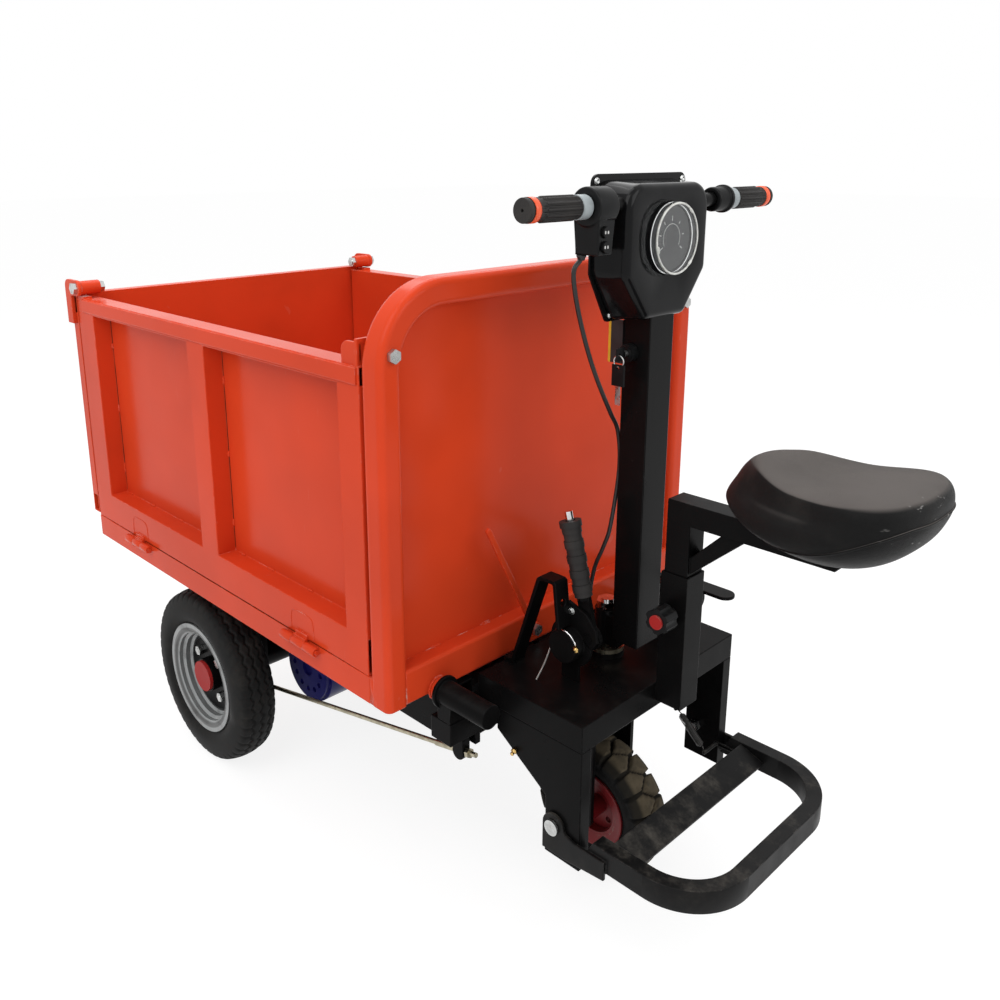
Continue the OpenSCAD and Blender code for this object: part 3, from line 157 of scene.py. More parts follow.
class Finish(Nodes):
    """A surface's shader and what feeds it."""

    def __init__(self, name):
        self.material = bpy.data.materials.new(name)
        super().__init__(self.material)
        self.shader = self.node("BsdfPrincipled")
        self.node("OutputMaterial", {0: self.shader.outputs[0]})
        where = self.node("TexCoord")
        self.where = where.outputs["Object"]
        self.facing = where.outputs["Normal"]

    def set(self, **values):
        """Feeds the shader's own sockets, which are named with spaces."""
        for key, value in values.items():
            self.feed(self.shader.inputs[key.replace("_", " ")], value)

    def mapped(self, stretch, offset=(0, 0, 0), turn=(0, 0, 0)):
        feeds = {"Vector": self.where, "Scale": stretch, "Location": offset, "Rotation": turn}
        return self.node("Mapping", feeds).outputs[0]

    def noise(self, scale, detail=4.0, rough=0.55, vector=None):
        feeds = {"Vector": vector or self.where, "Scale": scale, "Detail": detail, "Roughness": rough}
        return self.node("TexNoise", feeds).outputs["Fac"]

    def cells(self, scale, feature="F1"):
        feeds = {"Vector": self.where, "Scale": scale}
        return self.node("TexVoronoi", feeds, feature=feature).outputs["Distance"]

    def band(self, value, low, high, start=0.0, end=1.0):
        """Goes smoothly from start to end as the value goes from low to high."""
        feeds = dict(enumerate((value, low, high, start, end)))
        return self.node("MapRange", feeds, interpolation_type="SMOOTHSTEP").outputs[0]

    def times(self, a, b):
        return self.math("MULTIPLY", a, b)

    def plus(self, a, b):
        return self.math("ADD", a, b)

    def mix(self, share, a, b):
        return self.node("Mix", {0: share, 6: a, 7: b}, data_type="RGBA").outputs[2]

    def axis(self, vector, name):
        return self.node("SeparateXYZ", {0: vector}).outputs[name]

    def up(self, low=0.35, high=0.95):
        """1 on faces that look up at rest, 0 on walls and undersides."""
        return self.band(self.axis(self.facing, "Z"), low, high)

    def off_line(self, **middle):
        """Distance in metres from a line, which is given by its place on the two axes across it."""
        squares = []
        for name, value in middle.items():
            off = self.math("SUBTRACT", self.axis(self.where, name), value)
            squares.append(self.times(off, off))
        return self.math("SQRT", self.plus(*squares))

    def off_axle(self, x, z):
        """Distance in metres from a wheel's axle."""
        return self.off_line(X=at(x, 0, z).x, Z=at(x, 0, z).z)

    def worn_edge(self, radius, low=0.02, high=0.20):
        """1 along sharp edges, from the difference between the true and the rounded normal."""
        rounded = self.node("Bevel", {"Radius": radius}, samples=4).outputs[0]
        true = self.node("NewGeometry").outputs["True Normal"]
        dot = self.node("VectorMath", {0: rounded, 1: true}, operation="DOT_PRODUCT").outputs["Value"]
        return self.band(self.math("SUBTRACT", 1.0, dot), low, high)

    def bump(self, *layers):
        """Stacks (height, depth in metres) layers into the shader's normal."""
        last = {}
        for height, depth in layers:
            made = self.node("Bump", {"Strength": 1.0, "Distance": depth, "Height": height, **last})
            last = {"Normal": made.outputs[0]}
        self.set(**last)


def painted(f, colour, rough, dust, chip, bare_colour, wave, level):
    """Brushed-on gloss paint over steel: drifting tone, orange peel, dust on top and worn edges."""
    tone = f.band(f.noise(2.6, 3), 0.3, 0.7)
    base = f.mix(tone, [v * 0.90 for v in colour], [min(1, v * 1.07) for v in colour])
    streak = f.band(f.noise(7, 5, 0.6, f.mapped((1, 1, 0.25))), 0.52, 0.78)
    grime = f.band(f.noise(19, 6, 0.68), 0.47, 0.80)
    patches = f.plus(f.times(streak, 0.55), f.times(grime, 0.65))
    lying = f.times(f.plus(f.times(f.up(), 0.75), 0.16), patches)
    dusty = f.math("MULTIPLY", lying, dust, clamp=True)
    base = f.mix(dusty, base, colours().dust)
    matt = f.plus(f.band(f.noise(11, 5), 0.3, 0.75, rough * 0.82, rough * 1.25), f.times(dusty, 0.45))
    patchy = f.band(f.noise(38, 5, 0.7), 0.60 - 0.22 * chip, 0.70)
    drawn = f.mapped((9, 1, 0.7), (0.3, 0.1, 0), (0.2, 0.5, 0.3))
    scratch = f.band(f.noise(26, 2, 0.5, drawn), 0.735, 0.755)
    bare = f.plus(f.times(f.worn_edge(0.0022), patchy), f.times(scratch, 0.10 * chip))
    f.set(
        Base_Color=f.mix(bare, base, bare_colour), Roughness=f.plus(matt, f.times(bare, 0.2)),
        Specular_IOR_Level=level,
    )
    f.bump((f.noise(330, 2), 0.00006), *([(f.noise(4.2, 1), wave)] if wave else []))


def rim_paint(f, colour):
    """Silver wheel paint with fine flake and grime, and painted shade in a dark groove."""
    flake = f.band(f.cells(2600), 0.1, 0.6, 0.86, 1.12)
    grime = f.band(f.noise(24, 6, 0.65), 0.42, 0.72)
    base = f.mix(f.times(grime, 0.35), colour, (0.085, 0.08, 0.075))
    radius = f.off_axle(*REAR_AXLE)
    # The dark ring round the rim's groove is painted shade
    groove_shade = f.times(f.band(radius, 0.0985, 0.1015), f.band(radius, 0.1085, 0.1115, 1.0, 0.0))
    base = f.mix(f.times(groove_shade, 0.75), base, (0.035, 0.034, 0.033))
    bright = f.node("VectorMath", {0: base, "Scale": flake}, operation="SCALE")
    f.set(Base_Color=bright.outputs[0], Metallic=0.55, Roughness=f.band(grime, 0, 1, 0.34, 0.62))
    f.bump((f.noise(240, 2), 0.00005))


def plated(f, tint, rough, stain, stain_colour):
    """Plated steel: fine drawn grain, dull patches and a little staining."""
    dull = f.band(f.noise(60, 5, 0.6), 0.35, 0.7)
    spots = f.times(f.band(f.noise(95, 4, 0.7), 0.56, 0.74), stain)
    base = f.mix(dull, tint, [v * 0.72 for v in tint])
    f.set(Base_Color=f.mix(spots, base, stain_colour), Metallic=1.0)
    f.set(Roughness=f.plus(f.band(dull, 0, 1, rough * 0.8, rough * 1.3), f.times(spots, 0.3)))
    f.bump((f.noise(420, 2, 0.5, f.mapped((1, 6, 6))), 0.00004))


def rubber(f, colour, rough, dust, grain, depth, level):
    """Moulded rubber: fine grain, a bloom of dust and slightly shiny rubbed places."""
    bloom = f.band(f.noise(22, 5, 0.62), 0.40, 0.78)
    rub = f.band(f.noise(9, 3), 0.55, 0.8)
    f.set(Base_Color=f.mix(f.times(bloom, dust), colour, colours().dust), Specular_IOR_Level=level)
    f.set(Roughness=f.plus(f.band(rub, 0, 1, rough, rough * 0.72), f.times(bloom, 0.12)))
    f.bump((f.noise(grain, 3), depth), (f.noise(130, 3), depth * 1.6))


def dusty_tyre(f, colour, clay_colour):
    """Front tyre: clay-dusted lugs over darker rubber towards the bead."""
    radius = f.off_axle(*FRONT_AXLE)
    clay = f.band(f.noise(46, 6, 0.66), 0.25, 0.72, 0.35, 1.0)
    low = f.times(f.band(radius, 0.102, 0.114), f.times(clay, 0.40))
    base = f.mix(low, colour, (0.050, 0.042, 0.030))
    top = f.times(f.band(radius, 0.1195, 0.1245), f.band(f.noise(70, 5), 0.25, 0.75, 0.55, 0.95))
    base = f.mix(top, base, clay_colour)
    rubbed = f.times(f.band(radius, 0.1262, 0.1275), f.band(f.noise(55, 5, 0.6), 0.50, 0.66))
    base = f.mix(f.times(rubbed, 0.6), base, (0.045, 0.041, 0.035))
    f.set(Base_Color=base, Roughness=f.band(clay, 0, 1, 0.66, 0.9), Specular_IOR_Level=0.12)
    f.bump((f.noise(620, 4, 0.65), 0.00025), (f.noise(90, 4), 0.0005))


def moulded(f, colour, rough, level, coat=0.0):
    """Moulded plastic with a faint ripple, finger marks and a little dust on top."""
    smear = f.band(f.noise(15, 5, 0.6), 0.42, 0.75)
    dusty = f.times(f.times(f.up(), f.band(f.noise(60, 6, 0.7), 0.5, 0.8)), 0.12)
    base = f.mix(dusty, f.mix(smear, colour, [v * 1.5 + 0.001 for v in colour]), colours().dust)
    f.set(Base_Color=base, Specular_IOR_Level=level, Coat_Weight=coat, Coat_Roughness=0.06)
    f.set(Roughness=f.plus(f.band(smear, 0, 1, rough * 0.85, rough * 1.35), f.times(dusty, 0.4)))
    f.bump((f.noise(700, 2), 0.00004), (f.noise(7, 1), 0.0003))


def gap_dark(f):
    """The slit beside a panel: near black as painted shade, with rust here and there."""
    rust = f.band(f.noise(70, 5, 0.6), 0.45, 0.7)
    # The near-black colour is painted shade inside the slit; the rusty red spots are real rust
    f.set(Base_Color=f.mix(rust, (0.018, 0.007, 0.005), (0.12, 0.020, 0.008)), Specular_IOR_Level=0.1)
    f.set(Roughness=f.band(rust, 0, 1, 0.7, 0.9))
    f.bump((f.noise(400, 3), 0.0002))


def key_plate(f):
    """The plate beside the key: dark, with a yellow border down its free side."""
    yellow = f.band(f.axis(f.where, "X"), at(130.2, 0, 0).x, at(130.8, 0, 0).x, 1.0, 0.0)
    worn = f.band(f.noise(120, 4), 0.35, 0.75, 0.8, 1.0)
    base = f.mix(f.times(yellow, worn), (0.020, 0.021, 0.022), (0.72, 0.40, 0.025))
    f.set(Base_Color=base, Roughness=f.band(f.noise(40, 4), 0.3, 0.7, 0.32, 0.5), Specular_IOR_Level=0.35)
    f.bump((f.noise(500, 2), 0.00003))


def dial_face(f):
    """The gauge's printed face: near black, a little lighter and dusty towards its rim."""
    radius = f.off_line(Y=0.0, Z=GAUGE / 1000)
    haze = f.band(f.noise(42, 5), 0.3, 0.75)
    pale = f.times(f.band(radius, 0.02, 0.048), haze)
    f.set(Base_Color=f.mix(pale, (0.024, 0.025, 0.026), (0.056, 0.057, 0.059)), Specular_IOR_Level=0.4)
    f.set(Roughness=f.band(haze, 0, 1, 0.42, 0.6))
    f.bump((f.noise(900, 2), 0.00003))


def clear_lens(f):
    """Clear moulded lens with fine haze."""
    haze = f.band(f.noise(60, 5, 0.65), 0.45, 0.8)
    f.set(Base_Color=f.mix(haze, (0.97, 0.98, 0.98), (0.86, 0.88, 0.88)), Transmission_Weight=1.0)
    f.set(Roughness=f.band(haze, 0, 1, 0.02, 0.10), IOR=1.36)
    f.bump((f.noise(35, 2), 0.00006))


def lens_rim(f):
    """The lens's clear rim, drawn pale: a painted highlight of the light its thick edge catches."""
    scuff = f.band(f.noise(160, 5, 0.65), 0.35, 0.75)
    # The pale grey stands for light caught in the clear rim: painted highlight, broken up by darker scuffs
    f.set(Base_Color=f.mix(scuff, (0.72, 0.72, 0.68), (0.38, 0.38, 0.35)), Specular_IOR_Level=0.6)
    f.set(Roughness=f.band(scuff, 0, 1, 0.12, 0.4), Coat_Weight=0.5, Coat_Roughness=0.08)
    f.bump((f.noise(300, 2), 0.00008))


def saddle_vinyl(f, colour, worn_colour, dust_colour):
    """Grained black vinyl, faded brown-grey and dusty on the crown, with scuffs at the back."""
    fade = f.times(f.up(0.60, 0.97), f.band(f.noise(7, 4), 0.2, 0.65, 0.70, 1.0))
    base = f.mix(fade, colour, worn_colour)
    side = f.band(f.noise(13, 5, 0.62), 0.46, 0.8)
    base = f.mix(f.times(side, 0.05), base, dust_colour)
    back = f.band(f.axis(f.where, "X"), at(590, 0, 0).x, at(630, 0, 0).x)
    scuff = f.band(f.noise(34, 3, 0.5, f.mapped((1, 1.6, 4.5), (0.11, 0.43, 0.2))), 0.675, 0.70)
    base = f.mix(f.times(scuff, f.times(back, 0.6)), base, (0.32, 0.31, 0.30))
    f.set(Base_Color=base, Specular_IOR_Level=0.08, Sheen_Weight=0.02, Sheen_Roughness=0.5)
    f.set(Roughness=f.band(fade, 0, 1, 0.46, 0.70))
    pores = f.cells(620, "DISTANCE_TO_EDGE")
    f.bump((f.band(pores, 0.0, 0.18), 0.00022), (f.noise(170, 4), 0.0003))


def wire_rope(f):
    """Thin galvanised wire rope, its strands showing as fine slanting ridges."""
    feeds = {"Vector": f.where, "Scale": 260}
    lay = f.node("TexWave", feeds, wave_type="BANDS", bands_direction="DIAGONAL")
    f.set(Base_Color=f.mix(f.noise(150, 3), (0.48, 0.48, 0.47), (0.28, 0.27, 0.25)), Metallic=0.9)
    f.set(Roughness=f.band(f.noise(210, 3), 0.3, 0.7, 0.30, 0.50))
    f.bump((lay.outputs["Fac"], 0.0004))


# Each finish: its maker and the maker's values. A colour given by name is one that the user may change
MAKERS = {
    "bed_paint": (painted, "bed", 0.20, 0.04, 0.6, "primer", 0.0035, 0.09),
    "frame_paint": (painted, "frame", 0.32, 0.06, 0.35, (0.05, 0.05, 0.05), 0.0006, 0.045),
    "column_paint": (painted, "frame", 0.25, 0.02, 0.2, (0.05, 0.05, 0.05), 0.0002, 0.08),
    "footrest_paint": (painted, "frame", 0.46, 0.50, 0.9, (0.13, 0.125, 0.12), 0.0006, 0.13),
    "motor_paint": (painted, "motor", 0.34, 0.08, 0.2, (0.2, 0.2, 0.22), 0.0, 0.15),
    # The front rim's finish holds its red paint darkened by painted shade
    "front_rim_paint": (painted, "front_rim", 0.40, 0.24, 0.4, (0.20, 0.13, 0.11), 0.0, 0.20),
    "cap_paint": (painted, "cap", 0.42, 0.05, 0.25, (0.40, 0.16, 0.13), 0.0, 0.08),
    "rim_paint": (rim_paint, "rim"),
    "zinc": (plated, (0.62, 0.63, 0.62), 0.30, 0.4, (0.20, 0.18, 0.15)),
    "chrome": (plated, (0.78, 0.78, 0.78), 0.12, 0.15, (0.3, 0.28, 0.25)),
    "yellow_zinc": (plated, (0.46, 0.42, 0.31), 0.34, 0.6, (0.17, 0.13, 0.08)),
    "brass": (plated, (0.70, 0.47, 0.17), 0.28, 0.5, (0.20, 0.11, 0.05)),
    "spring_steel": (plated, (0.085, 0.082, 0.080), 0.40, 0.5, (0.05, 0.035, 0.025)),
    "bare_alloy": (plated, (0.50, 0.51, 0.52), 0.42, 0.3, (0.22, 0.21, 0.20)),
    "tyre_rubber": (rubber, "tyre", 0.62, 0.07, 900, 0.00012, 0.13),
    "grip_rubber": (rubber, "grip", 0.55, 0.08, 1300, 0.00010, 0.22),
    "lead_sheath": (rubber, (0.007, 0.007, 0.007), 0.36, 0.05, 700, 0.00004, 0.45),
    "dusty_tyre": (dusty_tyre, "tyre", "tread"),
    "head_plastic": (moulded, "plastic", 0.13, 0.10, 0.06),
    "switch_plastic": (moulded, (0.006, 0.0062, 0.0065), 0.40, 0.12),
    "battery_plastic": (moulded, (0.020, 0.021, 0.023), 0.55, 0.35),
    "ring_orange": (moulded, "ring_orange", 0.38, 0.4),
    "ring_grey": (moulded, "ring_grey", 0.46, 0.4),
    "mark_white": (moulded, (0.50, 0.50, 0.49), 0.55, 0.3),
    "saddle_vinyl": (saddle_vinyl, "vinyl", "vinyl_worn", "dust"),
    **{
        maker.__name__: (maker,)
        for maker in (gap_dark, key_plate, dial_face, clear_lens, lens_rim, wire_rope)
    },
}
FINISHES = {}


def finish_named(name):
    """The material of that name, made on first use."""
    if name not in FINISHES:
        maker, *values = MAKERS[name]
        values = [tuple(getattr(colours(), v)) if isinstance(v, str) else v for v in values]
        finish = Finish(name)
        maker(finish, *values)
        FINISHES[name] = finish.material
    return FINISHES[name]


def dress(node, finish, *zones, edge=0.0, whole=True):
    """Gives a CAD node its finish. Each zone is (finish, test of a face's centre and normal)."""
    obj = NODES[node]
    mesh = obj.data
    mesh.materials.clear()
    for name in (finish, *(zone for zone, _ in zones)):
        mesh.materials.append(finish_named(name))
    for face in mesh.polygons:
        face.material_index = 0
        for k, (_, test) in enumerate(zones):
            if test(face.center, face.normal):
                face.material_index = k + 1
    if edge:
        soften(obj, edge, whole)


def soften(obj, width, whole=True):
    """Rounds a piece's sharp edges; whole flat faces are joined first where that keeps them clean."""
    weld = obj.modifiers.new("Close seams", "WELD")
    weld.merge_threshold = 0.00001
    if whole:
        flat = obj.modifiers.new("Whole faces", "DECIMATE")
        flat.decimate_type = "DISSOLVE"
        flat.angle_limit = math.radians(0.5)
        flat.delimit = {"MATERIAL"}
    bevel = obj.modifiers.new("Rounded edges", "BEVEL")
    bevel.width = width
    bevel.segments = 2 if width < 0.002 else 4
    bevel.limit_method = "ANGLE"
    bevel.angle_limit = math.radians(50)
    bevel.use_clamp_overlap = False
    bevel.harden_normals = False


def new_piece(name, verts, faces, finish, body, slot, smooth=True):
    """A mesh piece made of points and faces, riding on a body."""
    mesh = bpy.data.meshes.new(name)
    mesh.from_pydata([tuple(v) for v in verts], [], faces)
    mesh.validate()
    mesh.update()
    for face in mesh.polygons:
        face.use_smooth = smooth
    obj = bpy.data.objects.new(name, mesh)
    bpy.context.scene.collection.objects.link(obj)
    obj.data.materials.append(finish_named(finish))
    if body:
        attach(obj, body)
    return obj


def unit(value):
    """A value held between 0 and 1."""
    return min(1.0, max(0.0, value))


def eased(value):
    """A smooth rise from 0 to 1."""
    t = unit(value)
    return t * t * (3 - 2 * t)


def circle(steps):
    """Cosine and sine of equal steps round a full turn."""
    return [(math.cos(2 * math.pi * k / steps), math.sin(2 * math.pi * k / steps)) for k in range(steps)]


def arc(start, end, steps):
    """Cosine and sine of equal steps from one angle to another, both given in degrees."""
    turns = [math.radians(start + (end - start) * k / steps) for k in range(steps + 1)]
    return [(math.cos(a), math.sin(a)) for a in turns]


def smooth_route(points, steps):
    """A Catmull-Rom line through the points."""
    p = [points[0], *points, points[-1]]
    line = []
    for i in range(1, len(p) - 2):
        for k in range(steps):
            t = k / steps
            line.append(
                0.5 * (2 * p[i] + (p[i + 1] - p[i - 1]) * t
                       + (2 * p[i - 1] - 5 * p[i] + 4 * p[i + 1] - p[i + 2]) * t ** 2
                       + (3 * p[i] - p[i - 1] - 3 * p[i + 1] + p[i + 2]) * t ** 3)
            )
    return [*line, points[-1]]


def skin(loops, around=False, lid=True, flip=False):
    """Points and faces of a skin over loops of points, closed at its ends or joined all around."""
    n, count = len(loops[0]), len(loops)
    faces = []
    for j in range(count if around else count - 1):
        a, b = j * n, (j + 1) % count * n
        faces += [(a + k, a + (k + 1) % n, b + (k + 1) % n, b + k) for k in range(n)]
    if not around:
        faces.append(tuple(reversed(range(n))))
        if lid:
            faces.append(tuple(range((count - 1) * n, count * n)))
    if flip:
        faces = [tuple(reversed(face)) for face in faces]
    return [p for loop in loops for p in loop], faces


def tube(line, radii, sides=8, closed=False):
    """A tube round a line, with one radius or a list of one for each point."""
    loops = []
    count = len(line)
    side = None
    for i, p in enumerate(line):
        ahead = line[(i + 1) % count] if closed or i + 1 < count else p
        behind = line[i - 1] if closed or i else p
        along = (ahead - behind).normalized()
        if side is None:
            side = along.orthogonal().normalized()
        side = (side - along * side.dot(along)).normalized()
        other = along.cross(side)
        r = radii[i] if isinstance(radii, (list, tuple)) else radii
        loops.append([p + r * (c * side + s * other) for c, s in circle(sides)])
    return skin(loops, around=closed)


def turned(profile, place, axis, sides):
    """A turned form: (distance along the axis, radius) points in millimetres swept round it."""
    axis = Vector(axis).normalized()
    side = axis.orthogonal().normalized()
    other = axis.cross(side)
    loops = []
    for along, r in profile:
        middle = at(*place) + axis * (along / 1000)
        loops.append([middle + r / 1000 * (c * side + s * other) for c, s in circle(sides)])
    return skin(loops)


def joined(*parts):
    """Several (points, faces) pairs as one."""
    verts, faces = [], []
    for v, f in parts:
        base = len(verts)
        verts.extend(v)
        faces.extend(tuple(base + i for i in face) for face in f)
    return verts, faces


class CartOperator(bpy.types.Operator):
    """What every step of the cart's finishing shares"""

    bl_options = {"REGISTER", "UNDO"}

    # CAD nodes with one finish all over: (finish, whether their edges are rounded, nodes)
    PLAIN = ()

    def execute(self, context):
        for finish, rounded, nodes in self.PLAIN:
            for node in nodes.split():
                dress(node, finish, edge=sizes().edge if rounded else 0.0)
        self.build(context.scene)
        return {"FINISHED"}

    def build(self, scene):
        """What a step does beyond its plain nodes."""


class CART_OT_camera(CartOperator):
    """Sets the camera where the photographer stood"""

    bl_idname = "cart.camera"
    bl_label = "Camera"

    PLACE = (1031.5, -1204.0, 1259.5)
    RIGHT, BACK = (0.69485, 0.71915, -0.00369), (0.69570, -0.67088, 0.25675)
    LENS = {"sensor_width": 36, "lens": 34.42, "shift_x": 0.0293, "shift_y": -0.0902}
    CLIP = {"clip_start": 0.05, "clip_end": 100}

    def build(self, scene):
        data = bpy.data.cameras.new("Camera")
        for key, value in {**self.LENS, **self.CLIP}.items():
            setattr(data, key, value)
        camera = bpy.data.objects.new("Camera", data)
        scene.collection.objects.link(camera)
        right, back = Vector(self.RIGHT).normalized(), Vector(self.BACK).normalized()
        up = back.cross(right).normalized()
        turn = Matrix((right, up, back)).transposed().to_4x4()
        camera.matrix_world = Matrix.Translation(at(*self.PLACE)) @ turn
        scene.camera = camera


class CART_OT_control_lead(CartOperator):
    """Runs the control lead from the switch box down behind the column, and the hand brake's wire"""

    bl_idname = "cart.control_lead"
    bl_label = "Control lead and brake wire"

    ROUTE = (
        (174, -162, 1133), (174, -163, 1120), (172, -175.5, 1102), (168, -161, 1053), (162, -129, 987),
        (158, -98, 934), (152, -56, 875), (146, -26, 836), (142, -14, 770), (144, -34, 680), (134, -38, 640),
        (118, -39, 598), (108, -38, 540), (106, -34, 490), (106, -33, 463.3),
    )
    WIRE = ((104.4, -127, 497), (103.6, -129, 483), (101, -140, 457), (98, -157, 430.9))

    def run(self, name, points, diameter, finish, body, node, slot, stiffness, lay):
        line = smooth_route([at(*p) for p in points], 6)
        curve = bpy.data.curves.new(name, "CURVE")
        curve.dimensions = "3D"
        spline = curve.splines.new("POLY")
        spline.points.add(len(line) - 1)
        for point, p in zip(spline.points, line):
            point.co = (*p, 1)
        spline.use_smooth = True
        curve.bevel_depth = diameter / 2
        curve.bevel_resolution = 4
        curve.use_fill_caps = True
        curve.materials.append(finish_named(finish))
        obj = bpy.data.objects.new(name, curve)
        bpy.context.scene.collection.objects.link(obj)
        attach(obj, body)
        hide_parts(node)

    def build(self, scene):
        s = sizes()
        self.run(
            "control_lead", self.ROUTE, s.lead, "lead_sheath", "steering", "control_cable", "black_rubber",
            "medium", "hanging",
        )
        self.run(
            "brake_wire", self.WIRE, s.wire, "wire_rope", "chassis", "handbrake_cable", "zinc",
            "stiff", "taut",
        )


class CART_OT_saddle(CartOperator):
    """Makes the padded saddle with its seam"""

    bl_idname = "cart.saddle"
    bl_label = "Saddle"

    NOSE, BACK, ARM = 341, 633, 748
    MIDDLE, HALF = (NOSE + BACK) / 2, (BACK - NOSE) / 2
    STEPS = 96
    # Sections from the underside to the crown's middle: share of the outline, height over the arm in
    # millimetres, and share of the way up to the crown. The nose's tip is full and round, without the
    # step that runs along the pad's sides
    UNDER = ((0.50, -6, 0), (0.64, -4, 0), (0.76, 4, 0), (0.89, 14, 0), (0.965, 25, 0), (1.0, 37, 0))
    CROWN = ((0.35, 76, 1), (0.02, 76, 1))
    SIDES = (
        *UNDER, (0.985, 48, 0), (0.935, 57, 0), (0.875, 63, 0.08), (0.845, 67, 0.30), (0.825, 71, 0.62),
        (0.79, 74, 0.86), (0.68, 76, 0.96), *CROWN,
    )
    TIP = (
        *UNDER, (0.985, 46, 0.02), (0.95, 53, 0.08), (0.905, 59, 0.22), (0.86, 65, 0.42), (0.81, 69, 0.63),
        (0.75, 73, 0.82), (0.64, 76, 0.95), *CROWN,
    )
    REAR = (
        (0.45, -6, 0), (0.58, -4, 0), (0.69, 4, 0), (0.80, 16, 0), (0.885, 29, 0), (0.94, 42, 0),
        (0.975, 54, 0), (0.995, 64, 0), (1.0, 72, 0.1), (0.99, 78, 0.35), (0.955, 80, 0.68),
        (0.89, 80, 0.87), (0.70, 78, 0.965), *CROWN,
    )

    def outline(self, a):
        c, s = math.cos(a), math.sin(a)
        width = sizes().saddle_width * 500 * (0.96 + 0.29 * c - 0.12 * c * c)
        return (
            self.MIDDLE + self.HALF * math.copysign(abs(c) ** 0.80, c),
            width * math.copysign(abs(s) ** 0.80, s),
        )

    def along(self, x):
        """Share of the way from the nose to the back."""
        return (x - self.NOSE) / (self.BACK - self.NOSE)

    def crown(self, x):
        u = self.along(x)
        nose, back = math.exp(-((u - 0.18) / 0.20) ** 2), math.exp(-((u - 0.93) / 0.25) ** 2)
        return self.ARM + 87 + 17 * nose + 16 * back

    def point(self, a, sides, tip, rear):
        """A place on the pad: the sections are blended round its nose and along its length."""
        x, y = self.outline(a)
        front = tip.lerp(sides, eased((abs(math.sin(a)) - 0.62) / 0.34))
        share, low, lift = front.lerp(rear, eased((self.along(x) - 0.52) / 0.46))
        x = self.MIDDLE + (x - self.MIDDLE) * share
        edge = self.ARM + low
        p = Vector((x, y * share, edge + (self.crown(x) - edge) * lift))
        # Soft unevenness of the foam
        out = Vector((math.cos(a), math.sin(a), 0))
        return p + out * 1.1 * noise.noise(p / 46) * unit((share - 0.5) * 2)

    def build(self, scene):
        sections = (self.SIDES, self.TIP, self.REAR)
        rings = list(zip(*(smooth_route([Vector(r) for r in section], 4) for section in sections)))
        turns = [2 * math.pi * k / self.STEPS for k in range(self.STEPS)]
        loops = [[at(*self.point(a, *ring)) for a in turns] for ring in rings]
        pad = new_piece("saddle_pad", *skin(loops), "saddle_vinyl", "seat", "vinyl")
        smoother = pad.modifiers.new("Soft foam", "SUBSURF")
        smoother.levels = smoother.render_levels = 1
        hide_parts("saddle")
        self.seam(rings)

    def seam(self, rings):
        """A sewn cord that sweeps from the sides' undersides up to the top edge of the back."""
        line = []
        for k in range(141):
            a = math.radians(-112 + 224 * k / 140)
            height = self.ARM + 4 + 66 * eased((112 - abs(math.degrees(a))) / 95)
            for ring, above in zip(rings, rings[1:]):
                low, high = self.point(a, *ring), self.point(a, *above)
                if low.z <= height < high.z:
                    line.append(at(*low.lerp(high, (height - low.z) / (high.z - low.z))))
                    break
        new_piece("saddle_seam", *tube(line, sizes().seam), "saddle_vinyl", "seat", "vinyl")


class CART_OT_spring(CartOperator):
    """Winds the footrest's return spring, which stretches from the leg to the footrest"""

    bl_idname = "cart.spring"
    bl_label = "Footrest spring"

    TOP, LOW = (176, 142, 282), (240, 142, 222)
    TURNS, TURN_STEPS = 30, 18
    EYE, HOOK = 0.0037, 0.008

    def build(self, scene):
        s = sizes()
        a, b = at(*self.TOP), at(*self.LOW)
        along = (b - a).normalized()
        top, low = a + along * self.EYE, b - along * self.EYE
        reach = (low - top).length
        side = Vector((0, 1, 0))
        other = along.cross(side)
        steps = self.TURN_STEPS * self.TURNS
        coil = []
        for i in range(steps + 1):
            t = i / steps
            turn = 2 * math.pi * self.TURNS * t
            r = s.coil * min(1, 12 * t + 0.25, 12 * (1 - t) + 0.25)
            centre = top + along * (self.HOOK + t * (reach - 2 * self.HOOK))
            coil.append(centre + r * (math.cos(turn) * side + math.sin(turn) * other))
        made = tube([top, *coil, low], s.spring_wire)
        spring = new_piece("return_spring", *made, "spring_steel", None, "zinc")
        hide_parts("footrest_spring")
        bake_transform(spring)


